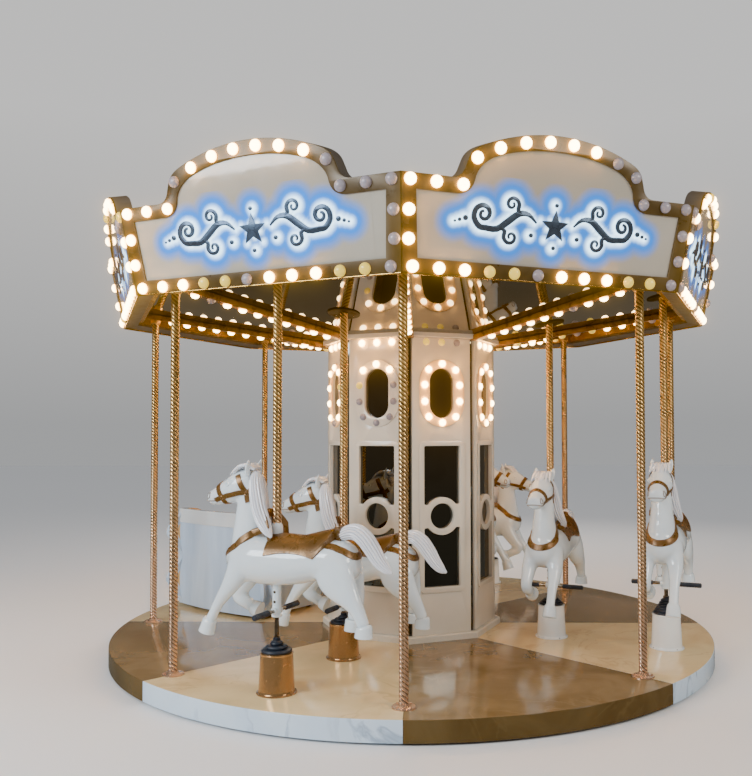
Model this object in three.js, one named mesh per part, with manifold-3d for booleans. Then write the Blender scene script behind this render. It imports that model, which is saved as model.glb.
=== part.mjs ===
// Fairground carousel: a round turntable with an eight-sided mirrored column and canopy,
// six jumping horses on brass poles and one bench carriage. Millimetres, +Z up.
// The origin is the centre of the turntable's base, at floor level.
// Azimuth 0 points along -Y, the front, and grows towards +X.
import * as THREE from 'three';
import { mergeVertices } from 'three/addons/utils/BufferGeometryUtils.js';
import Module from 'manifold-3d';

const wasm = await Module();
wasm.setup();

// Driving dimensions
const SIDES = 8;
const GAP = 0.3; // between pieces that rest on each other
const DECK_RADIUS = 2000;
const DECK_TOP = 120;
const DECK_THICKNESS = 35;
const DECK_EYE_RADIUS = 250;
const SKIRT_CLEARANCE = 12;
const SKIRT_THICKNESS = 30;
const POLE_RADIUS = 24;
const POLE_CIRCLE = 1823;
const COLUMN_RADIUS = 573; // to the corners of the mirrored core
const PANEL_THICKNESS = 18;
const PANEL_WIDTH = 406;
const CEILING_HEIGHT = 2104; // mirror face at the column, on a corner line
const CEILING_START = 700;
const CEILING_SLOPE = 0.168; // rise along a corner line
const CEILING_THICKNESS = 12;
const RIB_DEPTH = 36;
const RIB_WIDTH = 62;
const BOARD_RADIUS = 2055; // to the lower corners of the canopy boards
const BOARD_BOTTOM = 2198;
const BOARD_LEAN = THREE.MathUtils.degToRad(11.4);
const BOARD_THICKNESS = 100;
const BOARD_SHOULDER = 455;
const BOARD_CREST = 703;
const SOFFIT_WIDTH = 28;
const SOFFIT_BOTTOM = 2233;
const EAVES_HEIGHT = 2480;
const ROOF_RISE = 120;
const ROOF_THICKNESS = 15;
const HORSE_CIRCLES = [1725, 1000];
const HORSE_SECTORS = [0, 2, 4]; // the sectors left of the corners they are counted from
// The horses in turn: how high each rests against the first, and the top of the boot under it
const HORSE_HEIGHTS = [
  { lift: 0, bootTop: 400 },
  { lift: -108, bootTop: 385 },
  { lift: -25, bootTop: 437 },
  { lift: -90, bootTop: 403 },
  { lift: -137, bootTop: 356 },
  { lift: -60, bootTop: 433 },
];

// Derived dimensions
const STEP = (2 * Math.PI) / SIDES;
const HALF_STEP = STEP / 2;
const FLAT = Math.cos(HALF_STEP); // distance to a side over distance to a corner
const DECK_BOTTOM = DECK_TOP - DECK_THICKNESS;
const PANEL_FACE = COLUMN_RADIUS * FLAT + GAP + PANEL_THICKNESS;
const ceilingAt = (radius) => CEILING_HEIGHT + CEILING_SLOPE * (radius - CEILING_START);

// Solids
function toSolid(geometry) {
  const bare = geometry.clone();
  bare.deleteAttribute('normal');
  bare.deleteAttribute('uv');
  const merged = mergeVertices(bare, 1e-3);
  return new wasm.Manifold(new wasm.Mesh({
    numProp: 3,
    vertProperties: new Float32Array(merged.attributes.position.array),
    triVerts: new Uint32Array(merged.index.array),
  }));
}

function toGeometry(solid) {
  const mesh = solid.getMesh();
  const geometry = new THREE.BufferGeometry();
  const positions = new Float32Array(mesh.vertProperties);
  geometry.setAttribute('position', new THREE.BufferAttribute(positions, 3));
  geometry.setIndex(new THREE.BufferAttribute(new Uint32Array(mesh.triVerts), 1));
  geometry.computeVertexNormals();
  return geometry;
}

function join(...pieces) {
  return toGeometry(pieces.map(toSolid).reduce((sum, solid) => sum.add(solid)));
}

function cut(piece, ...tools) {
  return toGeometry(tools.map(toSolid).reduce((rest, tool) => rest.subtract(tool), toSolid(piece)));
}

function common(piece, other) {
  return toGeometry(toSolid(piece).intersect(toSolid(other)));
}

// A profile of [radius, height] turned about +Z. With eight steps its corners lie on the corner lines.
function turned(profile, steps) {
  const points = profile.map(([radius, height]) => new THREE.Vector2(radius, height));
  return new THREE.LatheGeometry(points, steps).rotateX(Math.PI / 2);
}

const closed = (profile) => [...profile, profile[0]];

// A shape drawn in x and y, standing from one height to the next
function raised(shape, low, high, curveSegments = 6) {
  const options = { depth: high - low, bevelEnabled: false, curveSegments };
  return new THREE.ExtrudeGeometry(shape, options).translate(0, 0, low);
}

function outline(points) {
  return new THREE.Shape(points.map(([x, y]) => new THREE.Vector2(x, y)));
}

function box(low, high) {
  const size = high.map((value, axis) => value - low[axis]);
  const centre = high.map((value, axis) => (value + low[axis]) / 2);
  return new THREE.BoxGeometry(...size).translate(...centre);
}

// Oval sections set square to a path. Each station is [x, y, z, half width, half depth].
function limb(stations, sides) {
  const centres = stations.map(([x, y, z]) => new THREE.Vector3(x, y, z));
  const across = new THREE.Vector3(0, 1, 0);
  const positions = [];
  stations.forEach(([, , , halfWidth, halfDepth], i) => {
    const before = centres[Math.max(i - 1, 0)];
    const after = centres[Math.min(i + 1, centres.length - 1)];
    const along = after.clone().sub(before).normalize();
    const upward = along.clone().cross(across).normalize();
    for (let k = 0; k < sides; k += 1) {
      const turn = (2 * Math.PI * (k + 0.5)) / sides;
      const point = centres[i].clone();
      point.addScaledVector(across, halfWidth * Math.cos(turn));
      point.addScaledVector(upward, halfDepth * Math.sin(turn));
      positions.push(point.x, point.y, point.z);
    }
  });
  const last = centres.length - 1;
  positions.push(...centres[0].toArray(), ...centres[last].toArray());
  const start = centres.length * sides;
  const faces = [];
  for (let k = 0; k < sides; k += 1) {
    const next = (k + 1) % sides;
    for (let i = 0; i < last; i += 1) {
      const a = i * sides + k;
      const b = i * sides + next;
      faces.push(a, b, a + sides, b, b + sides, a + sides);
    }
    faces.push(start, next, k);
    faces.push(start + 1, last * sides + k, last * sides + next);
  }
  const geometry = new THREE.BufferGeometry();
  geometry.setAttribute('position', new THREE.Float32BufferAttribute(positions, 3));
  geometry.setIndex(faces);
  return geometry;
}

// Finishes
const finish = (color, roughness, metalness) => (
  new THREE.MeshStandardMaterial({ color, roughness, metalness }));
const creamDeck = finish(0xd9c7a3, 0.25, 0);
const brownDeck = finish(0x6b4a26, 0.25, 0);
const brass = finish(0xc08a45, 0.3, 1);
const mirror = finish(0xcfd3d6, 0.05, 1);
const whiteLacquer = finish(0xe9e4da, 0.2, 0);
const goldLacquer = finish(0x9a7433, 0.35, 0.4);
const boardFace = finish(0xd8cdb4, 0.2, 0);
const bronze = finish(0x8a5a2b, 0.35, 0.8);
const steel = finish(0x55585c, 0.5, 0.9);
const roofPaint = finish(0xb9b6ae, 0.6, 0);

const carousel = new THREE.Group();

function place(name, geometry, material, turn = 0) {
  const mesh = new THREE.Mesh(geometry, material);
  mesh.name = name;
  const holder = new THREE.Group();
  holder.rotation.z = turn;
  holder.add(mesh);
  carousel.add(holder);
  return mesh;
}

// Fixed base under the deck: a floor plate, a slewing ring and an outer track joined by arms
function turntableBase() {
  const top = DECK_BOTTOM - GAP;
  const plate = turned([[0, 0], [700, 0], [700, 12], [0, 12]], 24);
  const slewingRing = turned(closed([[560, 0], [700, 0], [700, top], [560, top]]), 24);
  const track = turned(closed([[1500, 0], [1570, 0], [1570, top], [1500, top]]), 24);
  const arms = [0, 2].map((k) => box([-1550, -45, 0], [1550, 45, 60]).rotateZ(k * STEP));
  return join(plate, slewingRing, track, ...arms);
}
place('turntable_base', turntableBase(), steel);

// Deck: eight wedges with a hanging skirt, cream and brown by turns
function ringWedge(inner, outer, low, high) {
  const edge = (radius) => HALF_STEP - Math.asin(GAP / 2 / radius);
  const shape = new THREE.Shape();
  shape.absarc(0, 0, outer, -Math.PI / 2 - edge(outer), -Math.PI / 2 + edge(outer), false);
  shape.absarc(0, 0, inner, -Math.PI / 2 + edge(inner), -Math.PI / 2 - edge(inner), true);
  return raised(shape, low, high, 4);
}

function deckSector() {
  const deck = ringWedge(DECK_EYE_RADIUS, DECK_RADIUS, DECK_BOTTOM, DECK_TOP);
  const skirt = ringWedge(DECK_RADIUS - SKIRT_THICKNESS, DECK_RADIUS, SKIRT_CLEARANCE, DECK_BOTTOM + 10);
  return join(deck, skirt);
}
const sectorGeometry = deckSector();
for (let k = 0; k < SIDES; k += 1) {
  const material = k % 2 === 0 ? brownDeck : creamDeck;
  place(`deck_sector_${k + 1}`, sectorGeometry, material, k * STEP + HALF_STEP);
}

// Rim poles: brass, on round flanges over the deck's seams, cut to the slope of the ribs above
const FLANGE_RADIUS = 60;
const FLANGE_THICKNESS = 8;
const CAP_RADIUS = 34;
const CAP_HEIGHT = 28;
function rimPole() {
  const foot = DECK_TOP + GAP;
  const top = ceilingAt(POLE_CIRCLE) - GAP - RIB_DEPTH - GAP;
  const profile = [[0, foot], [FLANGE_RADIUS, foot], [FLANGE_RADIUS, foot + FLANGE_THICKNESS],
    [POLE_RADIUS, foot + FLANGE_THICKNESS + 8],
    [POLE_RADIUS, top - CAP_HEIGHT - 8], [CAP_RADIUS, top - CAP_HEIGHT], [CAP_RADIUS, top], [0, top]];
  const geometry = turned(profile, 10);
  const position = geometry.attributes.position;
  for (let i = 0; i < position.count; i += 1) {
    if (position.getZ(i) > top - 1) position.setZ(i, top - CEILING_SLOPE * position.getY(i));
  }
  return geometry.translate(0, -POLE_CIRCLE, 0);
}
const poleGeometry = rimPole();
for (let k = 0; k < SIDES; k += 1) place(`rim_pole_${k + 1}`, poleGeometry, brass, k * STEP);

// Column: a mirrored eight-sided core from deck to roof, panels on its faces, a plinth round its foot
const PLINTH_HEIGHT = 42;
const PLINTH_RADIUS = 622;
const roofUnderAt = (radius) => EAVES_HEIGHT + ROOF_RISE * (1 - (radius * FLAT) / roofEdge);
const boardFaceDistance = BOARD_RADIUS * FLAT;
const backShift = BOARD_THICKNESS / Math.cos(BOARD_LEAN);
const boardBackAt = (height) => (
  boardFaceDistance - backShift + (height - BOARD_BOTTOM) * Math.tan(BOARD_LEAN));
const roofEdge = boardBackAt(EAVES_HEIGHT) - GAP;
const coreTop = roofUnderAt(COLUMN_RADIUS) - GAP;
const columnCore = turned([[0, DECK_TOP + GAP], [COLUMN_RADIUS, DECK_TOP + GAP],
  [COLUMN_RADIUS, coreTop], [0, coreTop]], SIDES);
place('column_core', columnCore, mirror);

const plinthInner = COLUMN_RADIUS + GAP / FLAT;
place('column_plinth', turned(closed([[plinthInner, DECK_TOP + GAP], [PLINTH_RADIUS, DECK_TOP + GAP],
  [PLINTH_RADIUS, DECK_TOP + PLINTH_HEIGHT - 8], [PLINTH_RADIUS - 8, DECK_TOP + PLINTH_HEIGHT],
  [plinthInner, DECK_TOP + PLINTH_HEIGHT]]), SIDES), whiteLacquer);

// Column panel: a tall window crossed by a ring, and an oval window above it, over the mirror
const RAISED = 9;
const PANEL_TOP = 2062;
const FRAME = { low: 426, high: 1397, halfWidth: 158, border: 33 };
const RING = { height: 913, inner: 82, outer: 121, webHalf: 74 };
const OVAL = { height: 1704, halfWidth: 85, halfHeight: 160, plateHalfWidth: 158, plateHalfHeight: 218 };

function stadium(ShapeType, centre, halfWidth, halfHeight) {
  const shape = new ShapeType();
  const lift = halfHeight - halfWidth;
  shape.absarc(0, centre + lift, halfWidth, 0, Math.PI, false);
  shape.absarc(0, centre - lift, halfWidth, Math.PI, 2 * Math.PI, false);
  return shape;
}

function columnPanel() {
  const half = PANEL_WIDTH / 2;
  const low = DECK_TOP + PLINTH_HEIGHT + GAP;
  const face = PANEL_THICKNESS + RAISED;
  const plate = box([-half, low, 0], [half, PANEL_TOP, PANEL_THICKNESS]);
  const frame = box([-FRAME.halfWidth, FRAME.low, 0], [FRAME.halfWidth, FRAME.high, face]);
  const ovalPlate = raised(stadium(THREE.Shape, OVAL.height, OVAL.plateHalfWidth, OVAL.plateHalfHeight),
    0, face, 4);
  const through = [-20, face + 20];
  const glassHalf = FRAME.halfWidth - FRAME.border;
  const openings = [[FRAME.low + FRAME.border, RING.height - RING.webHalf],
    [RING.height + RING.webHalf, FRAME.high - FRAME.border]];
  const disc = new THREE.Shape().absarc(0, RING.height, RING.outer, 0, 2 * Math.PI, false);
  const ringDisc = raised(disc, through[0] - 10, through[1] + 10, 6);
  const windows = openings.map(([bottom, top]) => (
    cut(box([-glassHalf, bottom, through[0]], [glassHalf, top, through[1]]), ringDisc)));
  const eye = new THREE.Shape().absarc(0, RING.height, RING.inner, 0, 2 * Math.PI, false);
  const oval = raised(stadium(THREE.Shape, OVAL.height, OVAL.halfWidth, OVAL.halfHeight), ...through, 4);
  const panel = cut(join(plate, frame, ovalPlate), ...windows, raised(eye, ...through, 6), oval);
  return panel.rotateX(Math.PI / 2).translate(0, -(PANEL_FACE - PANEL_THICKNESS), 0);
}
const panelGeometry = columnPanel();
for (let k = 0; k < SIDES; k += 1) {
  place(`column_panel_${k + 1}`, panelGeometry, whiteLacquer, k * STEP + HALF_STEP);
}

// Canopy ribs: a collar round the column's head and eight beams under the corner lines of the ceiling
const COLLAR_LOW = PANEL_TOP + GAP;
const COLLAR_RADIUS = 632;
const SOFFIT_INNER = (boardBackAt(BOARD_BOTTOM) - SOFFIT_WIDTH) / FLAT;
const RIB_END = SOFFIT_INNER - (RIB_WIDTH / 2) * Math.tan(HALF_STEP) - GAP;
function canopyRibs() {
  const collarTop = ceilingAt(plinthInner) - GAP;
  const collar = turned(closed([[plinthInner, COLLAR_LOW], [COLLAR_RADIUS, COLLAR_LOW],
    [COLLAR_RADIUS, ceilingAt(COLLAR_RADIUS) - GAP], [plinthInner, collarTop]]), SIDES);
  const start = COLLAR_RADIUS - 30;
  const startTop = ceilingAt(start) - GAP;
  const endTop = ceilingAt(RIB_END) - GAP;
  const side = outline([[start, startTop - RIB_DEPTH], [RIB_END, endTop - RIB_DEPTH],
    [RIB_END, endTop], [start, startTop]]);
  const rib = raised(side, -RIB_WIDTH / 2, RIB_WIDTH / 2).rotateX(Math.PI / 2).rotateZ(-Math.PI / 2);
  const ribs = Array.from({ length: SIDES }, (_, k) => rib.clone().rotateZ(k * STEP));
  return join(collar, ...ribs);
}
place('canopy_ribs', canopyRibs(), goldLacquer);

// Ceiling: mirror sheets rising outward, with a hole for each horse's pole
const CEILING_EDGE = SOFFIT_INNER + 40;
const POLE_HOLE_RADIUS = 32;
const horsePlaces = HORSE_SECTORS.flatMap((sector) => (
  HORSE_CIRCLES.map((radius) => ({ radius, turn: sector * STEP - HALF_STEP }))));
function ceiling() {
  const innerLow = ceilingAt(plinthInner);
  const outerLow = ceilingAt(CEILING_EDGE);
  const sheet = turned(closed([[plinthInner, innerLow], [CEILING_EDGE, outerLow],
    [CEILING_EDGE, outerLow + CEILING_THICKNESS], [plinthInner, innerLow + CEILING_THICKNESS]]), SIDES);
  const hole = new THREE.CylinderGeometry(POLE_HOLE_RADIUS, POLE_HOLE_RADIUS, 600, 16).rotateX(Math.PI / 2);
  const holes = horsePlaces.map(({ radius, turn }) => (
    hole.clone().translate(0, -radius, ceilingAt(radius)).rotateZ(turn)));
  return cut(sheet, ...holes);
}
place('ceiling', ceiling(), mirror);

// Soffit: a gold ring against the backs of the boards, which carries the edge of the ceiling
function soffitRing() {
  const outer = (height) => (boardBackAt(height) - GAP) / FLAT;
  const topOuter = SOFFIT_INNER + 38;
  const top = ceilingAt(topOuter) - GAP;
  return turned(closed([[SOFFIT_INNER, SOFFIT_BOTTOM], [outer(SOFFIT_BOTTOM), SOFFIT_BOTTOM],
    [Math.min(outer(top), topOuter + 12), top + 12 * CEILING_SLOPE], [topOuter, top],
    [SOFFIT_INNER, ceilingAt(SOFFIT_INNER) - GAP]]), SIDES);
}
place('soffit_ring', soffitRing(), goldLacquer);

// Canopy boards: eight arched boxes leaning outward, mitred at the corners
function boardOutline() {
  const reach = BOARD_RADIUS;
  const arcHalf = 411;
  const arcFoot = 620;
  const rise = BOARD_CREST - arcFoot;
  const arcRadius = (arcHalf ** 2 + rise ** 2) / (2 * rise);
  const arcCentre = BOARD_CREST - arcRadius;
  const spread = Math.asin(arcHalf / arcRadius);
  const shape = new THREE.Shape();
  shape.moveTo(-reach, 0);
  shape.lineTo(reach, 0);
  shape.lineTo(reach, BOARD_SHOULDER);
  shape.lineTo(570, BOARD_SHOULDER);
  shape.quadraticCurveTo(512, BOARD_SHOULDER, 498, 516);
  shape.lineTo(484, 556);
  shape.quadraticCurveTo(468, 596, arcHalf, arcFoot);
  shape.absarc(0, arcCentre, arcRadius, Math.PI / 2 - spread, Math.PI / 2 + spread, false);
  shape.quadraticCurveTo(-468, 596, -484, 556);
  shape.lineTo(-498, 516);
  shape.quadraticCurveTo(-512, BOARD_SHOULDER, -570, BOARD_SHOULDER);
  shape.lineTo(-reach, BOARD_SHOULDER);
  return shape;
}

function canopyBoard() {
  const slab = raised(boardOutline(), -BOARD_THICKNESS, 0, 5);
  slab.rotateX(Math.PI / 2 + BOARD_LEAN).translate(0, -boardFaceDistance, BOARD_BOTTOM);
  const far = 3000;
  const reach = far * Math.tan(HALF_STEP);
  const mitre = outline([[0, -GAP], [reach, -far - GAP], [-reach, -far - GAP]]);
  return common(slab, raised(mitre, BOARD_BOTTOM - 100, BOARD_BOTTOM + 1000));
}
const boardGeometry = canopyBoard();
for (let k = 0; k < SIDES; k += 1) {
  place(`canopy_board_${k + 1}`, boardGeometry, boardFace, k * STEP + HALF_STEP);
}

// Roof: a low eight-sided pyramid behind the boards, resting on the core
const roofCorner = roofEdge / FLAT;
const roofPeak = EAVES_HEIGHT + ROOF_RISE;
place('roof', turned([[0, roofPeak], [roofCorner, EAVES_HEIGHT],
  [roofCorner, EAVES_HEIGHT + ROOF_THICKNESS], [0, roofPeak + ROOF_THICKNESS]], SIDES), roofPaint);

// Horse cups: a flanged cup with a rubber boot, open down the middle for the lifting rod
const CUP_TOP = 302;
const ROD_RADIUS = 12;
const CUP_BORE = ROD_RADIUS + GAP; // the rod slides in it
const ROD_SIDES = 12;
const foot = DECK_TOP + GAP;
function cup(bootTop) {
  const profile = [[CUP_BORE, foot], [105, foot], [105, foot + 6], [93, foot + 7], [84, CUP_TOP],
    [87, CUP_TOP + 3], [82, CUP_TOP + 14], [62, CUP_TOP + 18], [30, bootTop], [CUP_BORE, bootTop]];
  return turned(closed(profile), ROD_SIDES);
}

// Horse pole: brass above, a white tube through and under the body, a steel rod into the cup, a foot bar.
// At its lowest the tube stops just above the boot, the rod above the deck and the top above the ceiling.
const HORSE_POLE_RADIUS = 23;
const TUBE_BOTTOM = 505;
const BOOT_CLEARANCE = 6;
const END_CLEARANCE = 8;
const FOOT_BAR = { height: 538, half: 205, radius: 11 };
const GRIP = { length: 125, radius: 15, overhang: 4 };
function horsePole(radius, bootTop) {
  const drop = TUBE_BOTTOM - bootTop - BOOT_CLEARANCE;
  const rodBottom = foot + END_CLEARANCE + drop;
  const top = ceilingAt(radius / FLAT) + CEILING_THICKNESS + END_CLEARANCE + drop;
  const shaft = turned([[0, rodBottom], [ROD_RADIUS, rodBottom], [ROD_RADIUS, TUBE_BOTTOM],
    [HORSE_POLE_RADIUS, TUBE_BOTTOM], [HORSE_POLE_RADIUS, top], [0, top]], ROD_SIDES);
  const bar = new THREE.CylinderGeometry(FOOT_BAR.radius, FOOT_BAR.radius, 2 * FOOT_BAR.half, 6);
  const grip = new THREE.CylinderGeometry(GRIP.radius, GRIP.radius, GRIP.length, 6);
  const offset = FOOT_BAR.half - GRIP.length / 2 + GRIP.overhang;
  const grips = [-offset, offset].map((shift) => grip.clone().translate(0, shift, 0));
  const cross = join(bar, ...grips).translate(0, 0, FOOT_BAR.height);
  return join(shaft, cross);
}

// Horse: x forward, y to its left, which faces outward, z up from the floor; the pole passes at x = y = 0.
// The mane falls to the left, the left foreleg reaches down and forward, and the right one is folded.
function horse() {
  const trunk = limb([[286, 0, 808, 36, 48], [250, 0, 804, 84, 98], [190, 0, 800, 112, 120],
    [60, 0, 796, 127, 127], [-120, 0, 797, 120, 117], [-220, 0, 808, 118, 106], [-320, 0, 814, 122, 106],
    [-400, 0, 804, 108, 96], [-474, 0, 810, 36, 42]], 8);
  const neck = limb([[146, 0, 800, 96, 128], [162, 0, 880, 84, 110], [168, 0, 960, 70, 90],
    [168, 0, 1040, 62, 76], [158, 0, 1120, 56, 66], [146, 0, 1190, 50, 54]], 6);
  const head = limb([[136, 0, 1202, 46, 58], [186, 0, 1186, 66, 80], [238, 0, 1164, 74, 79],
    [290, 0, 1144, 61, 67], [336, 0, 1127, 53, 55], [404, 0, 1106, 47, 33], [419, 0, 1103, 33, 20]], 6);
  const mane = limb([[130, 4, 1244, 26, 24], [108, 18, 1196, 40, 36], [90, 26, 1130, 46, 40],
    [70, 34, 1064, 48, 40], [44, 44, 1000, 42, 36], [6, 64, 950, 30, 20]], 5);
  const ears = [-1, 1].map((side) => limb([[155, side * 36, 1215, 22, 15], [148, side * 52, 1270, 25, 14],
    [136, side * 62, 1310, 4, 3]], 4));
  const tail = limb([[-350, 0, 925, 10, 12], [-378, 0, 940, 28, 28], [-458, 0, 960, 44, 42],
    [-506, 0, 932, 45, 44], [-548, 0, 880, 42, 42], [-585, 0, 826, 34, 36], [-632, 0, 788, 12, 12]], 5);
  const nearFore = limb([[165, 66, 800, 56, 80], [212, 80, 692, 48, 55], [272, 83, 610, 35, 36],
    [338, 83, 505, 28, 27], [357, 83, 472, 30, 31], [366, 83, 450, 40, 40], [378, 83, 413, 43, 44]], 5);
  const farFore = limb([[165, -66, 800, 56, 80], [232, -84, 676, 44, 54], [296, -84, 592, 35, 40],
    [258, -84, 552, 33, 36], [204, -84, 524, 33, 36], [190, -84, 520, 40, 42], [161, -84, 508, 43, 46]], 5);
  const nearHind = limb([[-350, 62, 800, 56, 96], [-398, 75, 701, 49, 76], [-450, 78, 660, 43, 50],
    [-513, 80, 580, 32, 36], [-539, 80, 517, 30, 34], [-541, 80, 494, 41, 43], [-540, 80, 468, 43, 45]], 5);
  const farHind = limb([[-350, -62, 800, 56, 96], [-384, -76, 685, 48, 72], [-414, -80, 588, 34, 44],
    [-403, -80, 508, 29, 36], [-400, -80, 484, 41, 43], [-398, -80, 455, 43, 45]], 5);
  const saddle = limb([[5, 0, 848, 132, 93], [-67, 0, 848, 134, 93], [-168, 0, 848, 133, 89],
    [-251, 0, 866, 130, 92], [-330, 0, 904, 124, 72], [-386, 0, 950, 104, 39]], 8);
  const pommel = limb([[26, 0, 885, 96, 22], [34, 0, 950, 96, 20], [42, 0, 1010, 76, 18],
    [50, 0, 1060, 30, 12]], 7);
  const ferrule = new THREE.CylinderGeometry(29, 34, 90, 10).rotateX(Math.PI / 2).translate(0, 0, 955);
  const body = join(trunk, neck, head, mane, ...ears, tail, nearFore, farFore, nearHind, farHind, saddle,
    pommel, ferrule);
  const boreRadius = HORSE_POLE_RADIUS + GAP;
  const bore = new THREE.CylinderGeometry(boreRadius, boreRadius, 2000, ROD_SIDES).rotateX(Math.PI / 2);
  return cut(body, bore.translate(0, 0, 900));
}
const horseGeometry = horse();

// Horses, poles and cups stand in pairs, noses towards falling azimuth
horsePlaces.forEach(({ radius, turn }, index) => {
  const number = index + 1;
  const { lift, bootTop } = HORSE_HEIGHTS[index];
  const cupMaterial = turn < 0 ? bronze : whiteLacquer;
  place(`cup_${number}`, cup(bootTop), cupMaterial, turn).position.set(0, -radius, 0);
  const pole = place(`horse_pole_${number}`, horsePole(radius, bootTop), brass, turn);
  pole.position.set(0, -radius, lift);
  const body = place(`horse_${number}`, horseGeometry, whiteLacquer, turn);
  body.position.set(0, -radius, lift);
  body.rotation.z = Math.PI;
});

// Carriage: a curved back sheet and two scrolled sides round a bench, x forward, y to its left
const CARRIAGE = { x: -1245, y: 566, heading: THREE.MathUtils.degToRad(54.2) };
const CARRIAGE_HALF_LENGTH = 325;
const CARRIAGE_HALF_WIDTH = 431;
const CARRIAGE_WALL = 34;
const CARRIAGE_LOW = 140;
const CARRIAGE_TOP = 866;
const BACK_BOW = 42; // how far the middle of the back stands behind its ends
const WING_FLARE = 82; // how far a side's rear edge curls outward
const LIP_DEPTH = 104;
const FLOOR_THICKNESS = 25;
const SEAT_TOP = 480;
const BENCH_FRONT = 90;

function carriageOutline() {
  const back = -CARRIAGE_HALF_LENGTH;
  const front = CARRIAGE_HALF_LENGTH;
  const shape = new THREE.Shape();
  shape.moveTo(back, CARRIAGE_LOW);
  shape.lineTo(front - 40, CARRIAGE_LOW);
  shape.quadraticCurveTo(front, CARRIAGE_LOW + 20, front, CARRIAGE_LOW + 130);
  shape.quadraticCurveTo(front, 470, front - 110, 520);
  shape.quadraticCurveTo(60, 560, -20, 700);
  shape.quadraticCurveTo(-110, CARRIAGE_TOP, back + 60, CARRIAGE_TOP);
  shape.lineTo(back, CARRIAGE_TOP);
  return shape;
}

// A side sheet whose rear edge curls outward in two bulges, one over the other
function carriageSide(side) {
  const height = CARRIAGE_TOP - CARRIAGE_LOW;
  const sheet = new THREE.BoxGeometry(2 * CARRIAGE_HALF_LENGTH, CARRIAGE_WALL, height, 7, 1, 10);
  sheet.translate(0, CARRIAGE_HALF_WIDTH - CARRIAGE_WALL / 2, (CARRIAGE_TOP + CARRIAGE_LOW) / 2);
  const position = sheet.attributes.position;
  for (let i = 0; i < position.count; i += 1) {
    const rearward = Math.max(0, -60 - position.getX(i)) / (CARRIAGE_HALF_LENGTH - 60);
    const level = (position.getZ(i) - CARRIAGE_LOW) / height;
    const bulge = 0.62 - 0.38 * Math.cos(4 * Math.PI * level);
    position.setY(i, position.getY(i) + WING_FLARE * bulge * rearward ** 2);
  }
  const profile = raised(carriageOutline(), -600, 600, 3).rotateX(Math.PI / 2);
  const cutSheet = common(sheet, profile);
  return side > 0 ? cutSheet : common(mirrored(cutSheet), profile);
}

// The same solid on the other side of the XZ plane, its faces still facing out
function mirrored(geometry) {
  const copy = geometry.clone().scale(1, -1, 1);
  const index = copy.index.array;
  for (let i = 0; i < index.length; i += 3) [index[i], index[i + 1]] = [index[i + 1], index[i]];
  return copy;
}

// A slab whose rear face and any face behind x = 0 bow backward in the middle
function bowed(low, high) {
  const sheet = new THREE.BoxGeometry(high[0] - low[0], high[1] - low[1], high[2] - low[2], 1, 8, 1);
  sheet.translate((low[0] + high[0]) / 2, (low[1] + high[1]) / 2, (low[2] + high[2]) / 2);
  const position = sheet.attributes.position;
  for (let i = 0; i < position.count; i += 1) {
    const across = position.getY(i) / CARRIAGE_HALF_WIDTH;
    if (position.getX(i) < 0) position.setX(i, position.getX(i) - BACK_BOW * (1 - across ** 2));
  }
  return sheet;
}

function carriageShell() {
  const back = -CARRIAGE_HALF_LENGTH;
  const half = CARRIAGE_HALF_WIDTH;
  const backSheet = bowed([back, -half, CARRIAGE_LOW], [back + CARRIAGE_WALL, half, CARRIAGE_TOP]);
  const lip = bowed([back - 9, -half, CARRIAGE_TOP - LIP_DEPTH], [back + 10, half, CARRIAGE_TOP]);
  const floorFront = CARRIAGE_HALF_LENGTH - 40;
  const floorTop = CARRIAGE_LOW + FLOOR_THICKNESS;
  const floor = bowed([back + 2, -half + 2, CARRIAGE_LOW], [floorFront, half - 2, floorTop]);
  const feet = [[-1, -1], [-1, 1], [1, -1], [1, 1]].map(([along, across]) => (
    new THREE.CylinderGeometry(20, 20, CARRIAGE_LOW - foot + 5, 8).rotateX(Math.PI / 2)
      .translate(along * 240, across * 370, (CARRIAGE_LOW + foot + 5) / 2)));
  return join(backSheet, lip, carriageSide(1), carriageSide(-1), floor, ...feet);
}

function bench() {
  const clear = CARRIAGE_WALL + GAP;
  const half = CARRIAGE_HALF_WIDTH - clear;
  const rear = -CARRIAGE_HALF_LENGTH + clear + 0.5; // clear of the back sheet's flat facets
  return bowed([rear, -half, CARRIAGE_LOW + FLOOR_THICKNESS + GAP], [BENCH_FRONT, half, SEAT_TOP]);
}

for (const [name, geometry] of [['carriage_shell', carriageShell()], ['carriage_bench', bench()]]) {
  const piece = place(name, geometry, whiteLacquer);
  piece.position.set(CARRIAGE.x, CARRIAGE.y, 0);
  piece.rotation.z = CARRIAGE.heading;
}

export default carousel;
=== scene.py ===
import math

import bmesh
import bpy
import numpy as np
from mathutils import Matrix, Vector
from mathutils.bvhtree import BVHTree


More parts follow.
